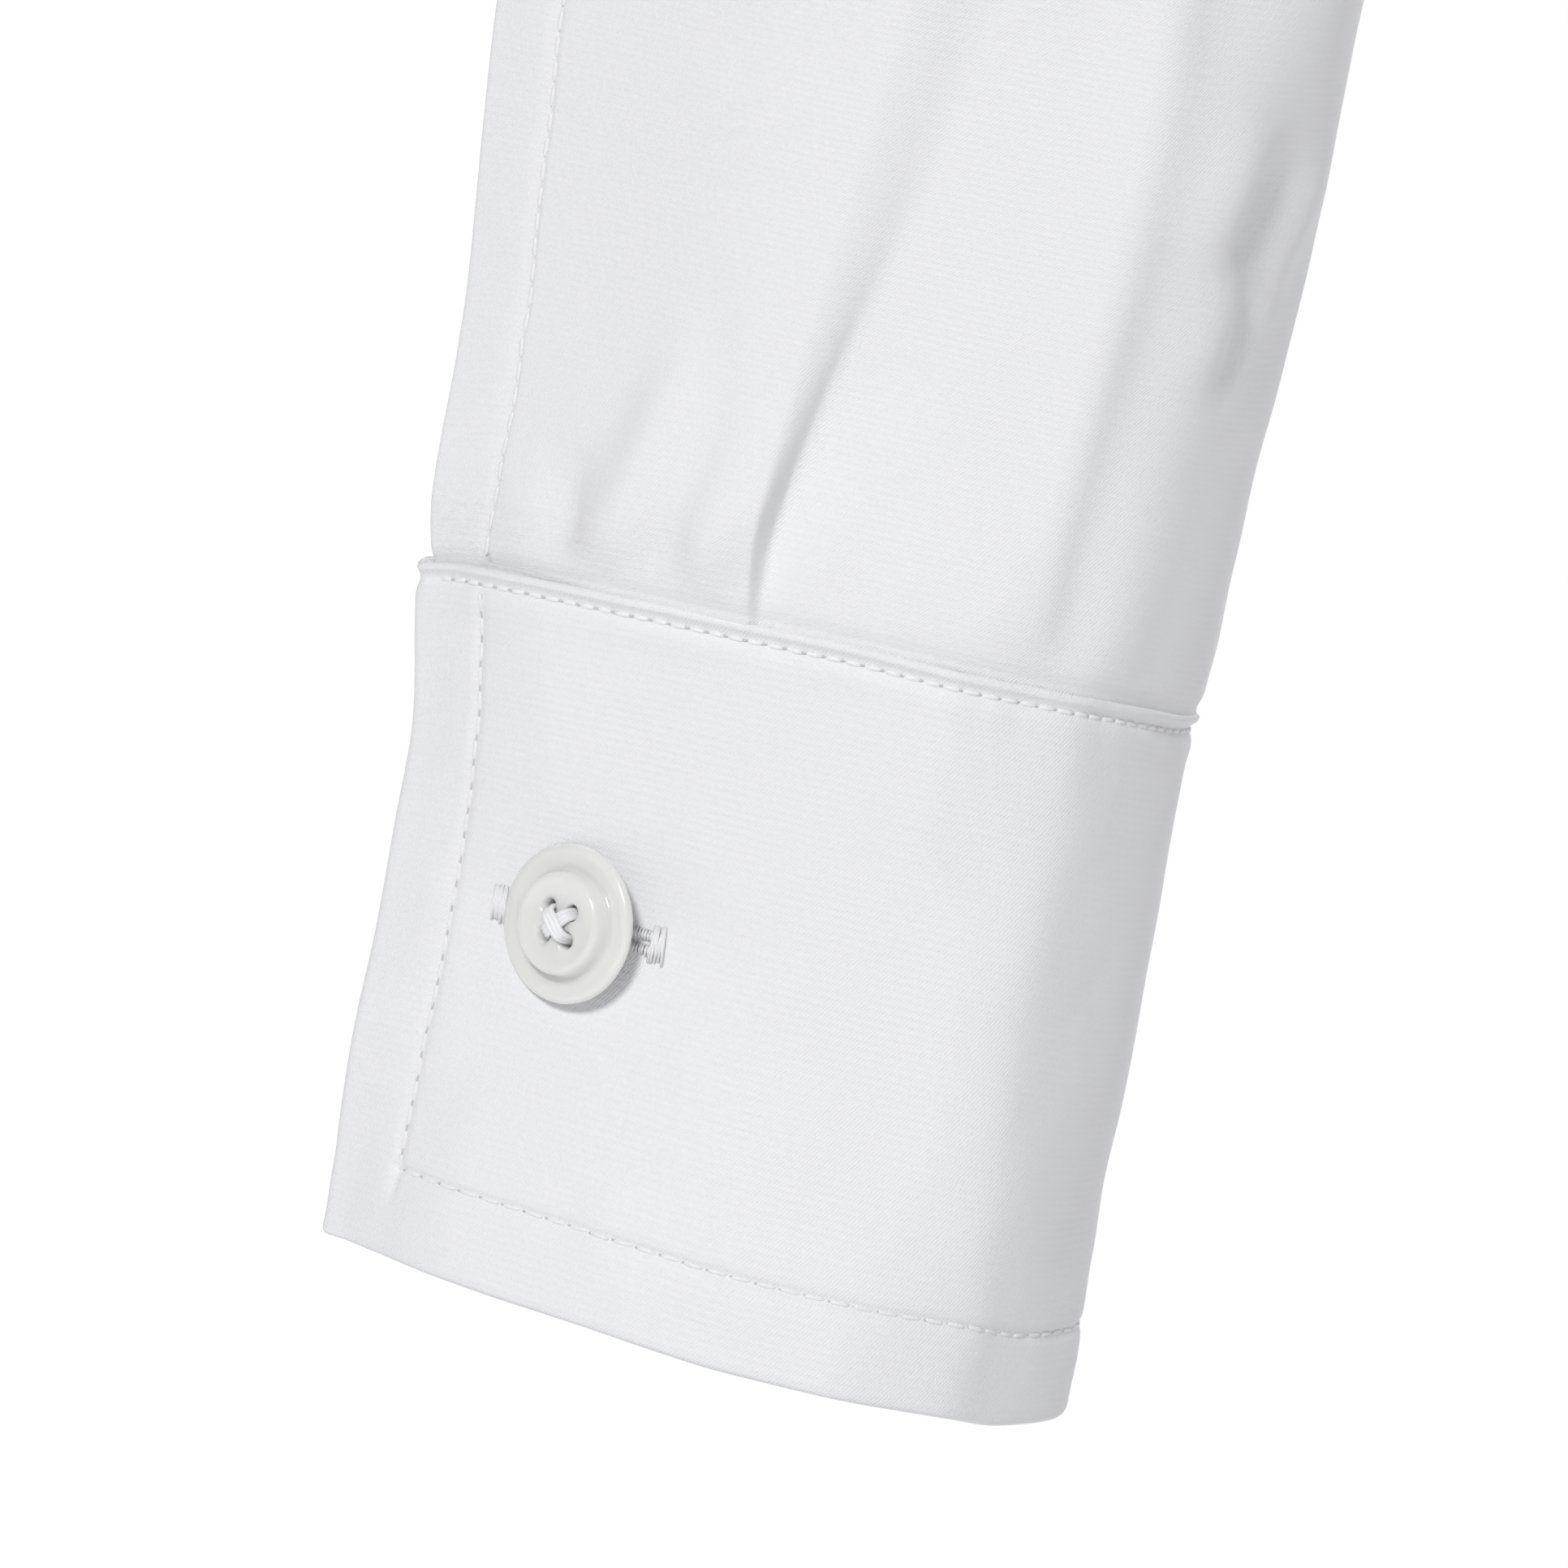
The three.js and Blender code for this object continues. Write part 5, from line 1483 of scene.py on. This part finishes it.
class SHIRT_OT_collar(bpy.types.Operator):
    """Make the collar's stand and leaf"""

    bl_idname = "shirt.collar"
    bl_label = "Collar"

    def execute(self, context):
        sateen = material_of("sateen")
        degrees = edged(-COLLAR_END, 360 + COLLAR_END, 190, 400)
        up = edged(0.0, STAND_HEIGHT + 1.4, 20, 28)
        grid = []
        for height in up:
            under = 1 - ease(degrees, COLLAR_END, COLLAR_END + 16)
            angle = np.where(degrees > 180, degrees - 360, degrees)
            out = -2.2 - under * 1.5
            grid.append(stand_point(angle, np.full_like(angle, height), out))
        p = np.array(grid)
        cloth = Cloth("collar_stand_cloth", p, 1.2, collar_inside, EDGES, weave_lines(p))
        finish_cloth(cloth.build(), sateen, cloth, ["collar_stand"])
        share = edged(-1, 1, 200, 440)
        t = edged(0, 1, 44, 60)
        p = np.array([leaf_point(share, np.full_like(share, v)) for v in t])
        n = grid_normals(p, collar_inside)
        d = edge_distance(p, ("last_row", "first_column", "last_column"))
        ripple = 0.3 * wander_field(21)(share[None, :] * 14 + 20, t[:, None] * 3)
        relief = ripple - 0.22 * bell(d - 6, 0.8) + 0.15 * bell(d - 3, 2.2)
        p = p + n * relief[..., None]
        cloth = Cloth("collar_leaf_cloth", p, 1.4, collar_inside, EDGES, weave_lines(p))
        finish_cloth(cloth.build(), sateen, cloth, ["collar_leaf"])
        self.stitching(cloth)
        return {"FINISHED"}

    def stitching(self, cloth):
        """A line of stitches 6 mm in from the leaf's edges."""
        p, n = cloth.outer, cloth.normals
        rows = np.linalg.norm(np.diff(p, axis=0), axis=-1)
        up = np.concatenate([np.cumsum(rows[::-1], axis=0)[::-1], np.zeros((1, p.shape[1]))])
        across_ = np.linalg.norm(np.diff(p, axis=1), axis=-1)
        right = np.concatenate([np.zeros((p.shape[0], 1)), np.cumsum(across_, axis=1)], axis=1)
        line = []
        for column in range(p.shape[1]):
            row = int(np.argmin(np.abs(up[:, column] - 6)))
            from_ends = min(right[row, column], right[row, -1] - right[row, column])
            if from_ends > 6:
                line.append(p[row, column] + n[row, column] * 0.05)
        first, last = [], []
        for row in range(p.shape[0]):
            if up[row].min() < 6 or row < 3:
                continue
            left = int(np.argmin(np.abs(right[row] - 6)))
            other = int(np.argmin(np.abs(right[row, -1] - right[row] - 6)))
            first.append(p[row, left] + n[row, left] * 0.05)
            last.append(p[row, other] + n[row, other] * 0.05)
        sew("collar_stitches", [np.array(first + line + last[::-1])], 2.0, 1.7, 0.17)


# ---- Brief ----
def brief_inside(p):
    inside = np.zeros_like(p)
    inside[..., 2] = np.clip(p[..., 2], -560, -470)
    return inside


# The section of a leg band, folded over the brief's edge: in from the edge, and out from the cloth.
LEG_BAND_FOLD = [
    (8.2, 0.25),
    (7.8, 0.8),
    (6.6, 1.2),
    (4, 1.45),
    (1, 1.3),
    (-0.9, 0.5),
    (-1.2, -0.4),
    (-0.7, -1.4),
    (1, -1.9),
    (4, -2.1),
    (7, -2.0),
]


class SHIRT_OT_brief(bpy.types.Operator):
    """Make the brief and its leg bands, and paint its press-studs"""

    bl_idname = "shirt.brief"
    bl_label = "Brief"

    def execute(self, context):
        sateen = material_of("sateen")
        for facing in ("front", "back"):
            t, s = edged(0, 1, 100, 240), edged(0, 1, 44, 150)
            s = s[(s == 0) | (s > 0.02)]
            p = both_halves(brief_rows(facing, t, s))
            n = grid_normals(p, brief_inside)
            calm = ease(edge_distance(p, EDGES), 0, 22)
            p = p + n * (body_folds(facing, p) * calm)[..., None]
            p = sink_edges(p, brief_inside, ("first_row",), 0.25)
            cloth = Cloth(f"brief_{facing}_cloth", p, 0.9, brief_inside, EDGES, weave_lines(p))
            finish_cloth(cloth.build(), sateen, cloth, [f"brief_{facing}"])
            for side in SIDES:
                self.leg_band(facing, side)
        for index in (1, 2, 3):
            snap = bpy.data.objects[f"snap_{index}"]
            snap.data.materials.clear()
            snap.data.materials.append(material_of("metal"))
        return {"FINISHED"}

    def leg_band(self, facing, side):
        """A narrow folded band round half a leg opening, and the stitching along it."""
        t = dense(SIDE_SHARE + 0.012, LEG_BAND_END, 90)
        rows = brief_rows(facing, t, np.array([0.82, 0.995]))
        inner, edge = rows[:, 0], rows[:, 1]
        inwards = unit(inner - edge)
        along = unit(np.gradient(edge, axis=0))
        normal = unit(np.cross(along, inwards))
        if float(np.median(np.sum(normal * (edge - brief_inside(edge)), axis=-1))) < 0:
            normal = -normal
        fold = spline(LEG_BAND_FOLD, 12)(dense(0, 1, 34, 0.9))
        ripple = 0.12 * wander(91)(np.arange(len(t)) / 1.9)
        bulge = fold[None, :, 1] + ripple[:, None] * (fold[None, :, 1] > 0)
        p = edge[:, None] + inwards[:, None] * fold[None, :, :1]
        p = p + normal[:, None] * bulge[..., None]
        name = f"leg_band_{facing}_{side}"
        cloth = Cloth(f"{name}_cloth", p, 0.7, brief_inside, EDGES, weave_lines(p))
        middle = len(t) // 2
        if float(np.dot(cloth.normals[middle, 6], normal[middle])) < 0:
            cloth.normals = -cloth.normals
        obj = cloth.build(mirrored=side == "right")
        finish_cloth(obj, material_of("sateen"), cloth, [name])
        line = p[1:-1, 4] + normal[1:-1] * 0.05
        if side == "right":
            line = line * np.array([-1, 1, 1])
        sew(f"{name}_stitches", [line], 2.2, 1.8, 0.17)


# ---- Buttons ----
def button_mesh():
    """A four-hole button: a raised rim round a dished middle, in millimetres, its back at Z = 0."""
    bm = bmesh.new()
    profile = [
        (0.0, 0.15),
        (4.6, 0.15),
        (5.7, 0.3),
        (6.25, 0.62),
        (6.45, 1.0),
        (6.42, 1.25),
        (6.22, 1.48),
        (5.9, 1.55),
        (5.5, 1.42),
        (4.9, 1.2),
        (4.5, 1.16),
        (4.32, 1.3),
        (4.22, 1.7),
        (4.14, 2.35),
        (4.0, 2.62),
        (3.75, 2.72),
        (3.45, 2.66),
        (3.05, 2.52),
        (2.5, 2.46),
        (0.0, 2.44),
    ]
    around = 72
    rings = []
    for r, z in profile:
        if r == 0:
            rings.append([bm.verts.new((0, 0, z))])
            continue
        rings.append(
            [
                bm.verts.new(
                    (r * math.cos(2 * math.pi * k / around), r * math.sin(2 * math.pi * k / around), z)
                )
                for k in range(around)
            ]
        )
    for low, high in zip(rings, rings[1:]):
        for k in range(around):
            a, b = low[k % len(low)], low[(k + 1) % len(low)]
            c, d = high[(k + 1) % len(high)], high[k % len(high)]
            corners = list(dict.fromkeys((a, b, c, d)))
            bm.faces.new(corners)
    bmesh.ops.recalc_face_normals(bm, faces=bm.faces)
    mesh = bpy.data.meshes.new("button_blank")
    bm.to_mesh(mesh)
    bm.free()
    blank = add_object("button_blank", mesh)
    drill = bmesh.new()
    for k in range(4):
        angle = math.pi / 2 * k + math.pi / 4
        made = bmesh.ops.create_cone(
            drill, cap_ends=True, segments=20, depth=7,
            radius1=BUTTON_HOLE_RADIUS, radius2=BUTTON_HOLE_RADIUS,
        )
        out = BUTTON_HOLES_OUT
        shift = Vector((out * math.cos(angle), out * math.sin(angle), 1))
        bmesh.ops.translate(drill, verts=made["verts"], vec=shift)
    tool_mesh = bpy.data.meshes.new("button_drill")
    drill.to_mesh(tool_mesh)
    drill.free()
    tool = add_object("button_drill", tool_mesh)
    holes = blank.modifiers.new("holes", "BOOLEAN")
    holes.operation, holes.object, holes.solver = "DIFFERENCE", tool, "EXACT"
    graph = bpy.context.evaluated_depsgraph_get()
    made = bpy.data.meshes.new_from_object(blank.evaluated_get(graph), depsgraph=graph)
    bpy.data.objects.remove(blank)
    bpy.data.objects.remove(tool)
    made.name = "button"
    for polygon in made.polygons:
        polygon.use_smooth = True
    return made


def strand(points, radius, sides=8):
    """A round thread through points, with closed ends, as (vertices, faces)."""
    points = np.asarray(points, float)
    along = unit(np.gradient(points, axis=0))
    side = unit(np.cross(along, np.array([0.13, 0.31, 1.0])))
    other = np.cross(along, side)
    vertices, faces = [], []
    for k, centre in enumerate(points):
        for j in range(sides):
            angle = 2 * math.pi * j / sides
            vertices.append(centre + radius * (side[k] * math.cos(angle) + other[k] * math.sin(angle)))
    for k in range(len(points) - 1):
        for j in range(sides):
            a, b = k * sides + j, k * sides + (j + 1) % sides
            faces.append((a, a + sides, b + sides, b))
    faces.append(tuple(range(sides)))
    faces.append(tuple(reversed(range((len(points) - 1) * sides, len(points) * sides))))
    return vertices, faces


def thread_mesh():
    """The threads that cross the button between its holes, and the shank beneath it."""
    vertices, faces = [], []

    def add(points, radius):
        v, f = strand(points, radius)
        base = len(vertices)
        vertices.extend(v)
        faces.extend(tuple(i + base for i in face) for face in f)

    t = np.linspace(-1, 1, 15)
    for turn, lift in ((0.25, 0.0), (0.75, 0.3)):
        angle = math.pi * turn
        way = np.array([math.cos(angle), math.sin(angle), 0])
        beside = np.array([-way[1], way[0], 0])
        for offset in (-0.42, 0.0, 0.42):
            r = BUTTON_HOLES_OUT * t
            height = 2.44 + (0.34 + lift + 0.05 * (offset == 0)) * (1 - np.abs(t) ** 4)
            height = height - 2.5 * ease(np.abs(t), 0.82, 1.0)
            points = way * r[:, None] + beside * (offset * (1 - 0.35 * np.abs(t)))[:, None]
            points[:, 2] = height
            add(points, 0.26)
    for ring in range(4):
        angle = np.linspace(0, 2 * math.pi, 20)
        points = np.stack([1.3 * np.cos(angle), 1.3 * np.sin(angle), 0 * angle - 0.25 + 0.3 * ring], axis=1)
        add(points[:-1], 0.22)
    mesh = bpy.data.meshes.new("button_thread")
    mesh.from_pydata([tuple(v) for v in vertices], [], faces)
    mesh.polygons.foreach_set("use_smooth", [True] * len(mesh.polygons))
    return mesh


def seat(point, outward, turn_way):
    """A matrix that lays Z along outward and X as near turn_way as it goes."""
    z = Vector(outward).normalized()
    x = Vector(turn_way)
    x = (x - z * x.dot(z)).normalized()
    y = z.cross(x)
    matrix = Matrix((x, y, z)).transposed().to_4x4()
    return Matrix.Translation(Vector(point) * MM) @ matrix @ Matrix.Scale(MM, 4)


def button_places():
    """Each button's node with the point it stands on, the way out, the way along its buttonhole."""
    places = []
    for side in SIDES:
        mirror = np.array([-1, 1, 1]) if side == "right" else np.array([1, 1, 1])
        seed = CUFF_SEED[side]
        here = cuff_point(BUTTON_DOWN, BUTTON_ALONG, seed)
        on = cuff_point(BUTTON_DOWN, BUTTON_ALONG + 3, seed) - cuff_point(
            BUTTON_DOWN, BUTTON_ALONG - 3, seed
        )
        down = cuff_point(BUTTON_DOWN + 3, BUTTON_ALONG, seed) - cuff_point(
            BUTTON_DOWN - 3, BUTTON_ALONG, seed
        )
        outward = unit(np.cross(on, down))
        outward = outward if outward[1] < 0 else -outward
        places.append((f"button_cuff_{side}", here * mirror, outward * mirror, unit(on) * mirror))
    for index, z in enumerate(FRONT_BUTTON_Z):
        slope = float(front_at(z + 5) - front_at(z - 5)) / 10
        outward = unit(np.array([0, -1, -slope]))
        y = -float(front_at(z)) - 13 * math.exp(-((80 / 55) ** 2) - ((z + 250) / 60) ** 2)
        point = np.array([0, y - BAND_PROUD, z])
        places.append((f"button_front_{index + 1}", point, outward, np.array([0, 0, 1.0])))
    point = stand_point(np.array(0.0), np.array(STAND_HEIGHT / 2 + 1.8), -2.2)
    places.append(("button_collar", point, unit(np.array([0, -1, 0.1])), np.array([1.0, 0, 0])))
    return places


def buttonhole_lines(length, width=1.9):
    """Short thread lines round a buttonhole, about its middle, in millimetres: x runs along it."""
    lines = []
    rng = np.random.default_rng(17)
    for x in np.arange(-length / 2, length / 2, 0.27):
        for sign in (-1, 1):
            wobble = rng.uniform(-0.06, 0.06)
            lines.append(((x, sign * (0.16 + wobble * 0.3)), (x + wobble, sign * (width / 2 + wobble))))
    for end in (-1, 1):
        for x in np.arange(0, 1.1, 0.2):
            tilt, low, high = rng.uniform(-0.16, 0.16, 3)
            at = end * (length / 2 + x)
            lines.append(((at - tilt, -width * 0.7 + low), (at + tilt, width * 0.7 + high)))
    return lines


class SHIRT_OT_buttons(bpy.types.Operator):
    """Make the buttons, the threads that hold them and their buttonholes"""

    bl_idname = "shirt.buttons"
    bl_label = "Buttons"

    def execute(self, context):
        disc, threads = button_mesh(), thread_mesh()
        for name, point, outward, along in button_places():
            cuff = "cuff" in name
            lean = np.array([-0.3 if name.endswith("right") else 0.3, 0.0, 0.08])
            standing = unit(outward + lean) if cuff else outward
            where = seat(np.asarray(point) + np.asarray(outward) * 0.35, standing, along)
            for mesh, label, slot in ((disc, "disc", "resin"), (threads, "thread", "sateen")):
                made = mesh.copy()
                made.transform(where)
                made.materials.clear()
                made.materials.append(material_of("resin" if label == "disc" else "thread"))
                obj = bpy.data.objects.new(f"{name}_{label}", made)
                context.scene.collection.objects.link(obj)
                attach(obj, "root")
                if label == "disc":
                    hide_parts(name)
            self.buttonhole(name, point, outward, along, cuff)
        return {"FINISHED"}

    def buttonhole(self, name, point, outward, along, cuff):
        """The worked buttonhole of one button, laid on the cloth round it."""
        lines = []
        side = np.cross(outward, along)
        for start, end in buttonhole_lines(BUTTONHOLE_LENGTH):
            line = []
            for x, y in (start, ((start[0] + end[0]) / 2, (start[1] + end[1]) / 2), end):
                rise = 0.12 if (x, y) in (start, end) else 0.24
                if cuff:
                    sign = -1 if name.endswith("right") else 1
                    seed = CUFF_SEED["right" if sign < 0 else "left"]
                    at = cuff_point(BUTTON_DOWN + y, BUTTON_ALONG + x, seed)
                    at = at * np.array([sign, 1, 1]) + np.asarray(outward) * rise
                else:
                    at = np.asarray(point) + along * x + side * y + np.asarray(outward) * rise
                line.append(at)
            lines.append(np.array(line))
        sew_lines(f"{name}_hole", lines, 0.15)


def sew_lines(name, lines, radius):
    """One thread along each line, as a single piece of mesh."""
    vertices, faces = [], []
    for line in lines:
        v, f = strand(line, radius, 5)
        base = len(vertices)
        vertices.extend(v)
        faces.extend(tuple(i + base for i in face) for face in f)
    mesh = bpy.data.meshes.new(name)
    mesh.from_pydata([tuple(np.asarray(v) * MM) for v in vertices], [], faces)
    mesh.polygons.foreach_set("use_smooth", [True] * len(mesh.polygons))
    mesh.materials.append(material_of("thread"))
    obj = add_object(name, mesh)
    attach(obj, "root")


# ---- Stage ----
class SHIRT_OT_stage(bpy.types.Operator):
    """Make the floor, the lights and the camera"""

    bl_idname = "shirt.stage"
    bl_label = "Stage"

    def execute(self, context):
        settings = context.scene.shirt_settings
        self.floor(context)
        self.lights(context, settings)
        self.camera(context, settings)
        return {"FINISHED"}

    def floor(self, context):
        bpy.ops.mesh.primitive_plane_add(size=120, location=(0, 0, -1.42))
        floor = context.active_object
        floor.name = "floor"
        floor.data.materials.append(material_of("floor"))

    def lights(self, context, settings):
        world = bpy.data.worlds.new("studio")
        context.scene.world = world
        world.use_nodes = True
        tree = world.node_tree
        soft = tree.nodes["Background"]
        soft.inputs["Color"].default_value = (0.985, 0.99, 1.0, 1)
        soft.inputs["Strength"].default_value = settings.fill
        white = value_node(tree, "ShaderNodeBackground")
        white.inputs["Color"].default_value = (1, 1, 1, 1)
        path = value_node(tree, "ShaderNodeLightPath")
        blend = value_node(tree, "ShaderNodeMixShader")
        tree.links.new(path.outputs["Is Camera Ray"], blend.inputs[0])
        tree.links.new(soft.outputs[0], blend.inputs[1])
        tree.links.new(white.outputs[0], blend.inputs[2])
        output = next(n for n in tree.nodes if n.type == "OUTPUT_WORLD")
        tree.links.new(blend.outputs[0], output.inputs["Surface"])
        lamps = (
            ("key", settings.key, (-0.3, -1.0, 0.78), 12),
            ("rear", settings.key * 0.7, (0.45, 1.0, 0.7), 40),
        )
        for name, strength, towards, spread in lamps:
            lamp = bpy.data.lights.new(name, "SUN")
            lamp.energy = strength
            lamp.angle = math.radians(spread)
            obj = bpy.data.objects.new(name, lamp)
            obj.rotation_euler = Vector(towards).to_track_quat("Z", "Y").to_euler()
            context.scene.collection.objects.link(obj)
        context.scene.view_settings.view_transform = "Standard"

    def camera(self, context, settings):
        aim = cuff_point(settings.aim_down, settings.aim_along) * np.array([-1, 1, 1]) * MM
        height = math.radians(settings.elevation)
        away = Vector((0, -math.cos(height), math.sin(height)))
        distance = settings.distance
        data = bpy.data.cameras.new("camera")
        data.sensor_width = 36
        data.lens = 18 / (settings.view_width * MM / 2 / distance)
        data.clip_end = 200
        camera = bpy.data.objects.new("camera", data)
        camera.location = Vector(aim) + away * distance
        camera.rotation_euler = away.to_track_quat("Z", "Y").to_euler()
        context.scene.collection.objects.link(camera)
        context.scene.camera = camera


# ---- Add-on ----
class SHIRT_PG_settings(bpy.types.PropertyGroup):
    cloth_colour: FloatVectorProperty(
        name="Cloth",
        description="Colour of the sateen",
        subtype="COLOR",
        default=(0.86, 0.86, 0.88),
        min=0,
        max=1,
    )
    button_colour: FloatVectorProperty(
        name="Buttons",
        description="Colour of the resin",
        subtype="COLOR",
        default=(0.9, 0.9, 0.87),
        min=0,
        max=1,
    )
    rib_pitch: FloatProperty(
        name="Rib Pitch", description="Distance between the cloth's ribs, in millimetres", default=0.6
    )
    fill: FloatProperty(name="Fill", description="Light from all round", default=0.33)
    key: FloatProperty(name="Key", description="Light from the upper left", default=1.77)
    view_width: FloatProperty(
        name="View Width", description="Width that the camera takes in, in millimetres", default=124.6
    )
    distance: FloatProperty(
        name="Camera Distance", description="From the cuff", default=1.6, subtype="DISTANCE"
    )
    elevation: FloatProperty(
        name="Camera Height", description="Degrees above level", default=12.0
    )
    aim_down: FloatProperty(
        name="Aim Down", description="Down the cuff from its seam, in millimetres", default=11.4
    )
    aim_along: FloatProperty(
        name="Aim Along", description="Along the cuff from its end, in millimetres", default=34.0
    )


OPERATORS = (
    SHIRT_OT_body,
    SHIRT_OT_sleeves,
    SHIRT_OT_cuffs,
    SHIRT_OT_collar,
    SHIRT_OT_brief,
    SHIRT_OT_buttons,
    SHIRT_OT_stage,
)


class SHIRT_PT_panel(bpy.types.Panel):
    bl_idname = "SHIRT_PT_panel"
    bl_label = "Shirt"
    bl_space_type = "VIEW_3D"
    bl_region_type = "UI"
    bl_category = "Shirt"

    def draw(self, context):
        settings = context.scene.shirt_settings
        for name in settings.__annotations__:
            self.layout.prop(settings, name)
        for operator in OPERATORS:
            self.layout.operator(operator.bl_idname)


def register():
    for item in (SHIRT_PG_settings, *OPERATORS, SHIRT_PT_panel):
        bpy.utils.register_class(item)
    bpy.types.Scene.shirt_settings = bpy.props.PointerProperty(type=SHIRT_PG_settings)


def unregister():
    del bpy.types.Scene.shirt_settings
    for item in (SHIRT_PT_panel, *reversed(OPERATORS), SHIRT_PG_settings):
        bpy.utils.unregister_class(item)


def main():
    register()
    bpy.ops.shirt.stage()
    bpy.ops.shirt.body()
    bpy.ops.shirt.sleeves()
    bpy.ops.shirt.cuffs()
    bpy.ops.shirt.collar()
    bpy.ops.shirt.brief()
    bpy.ops.shirt.buttons()
    drop_stitch_model()


if __name__ == "__main__":
    main()
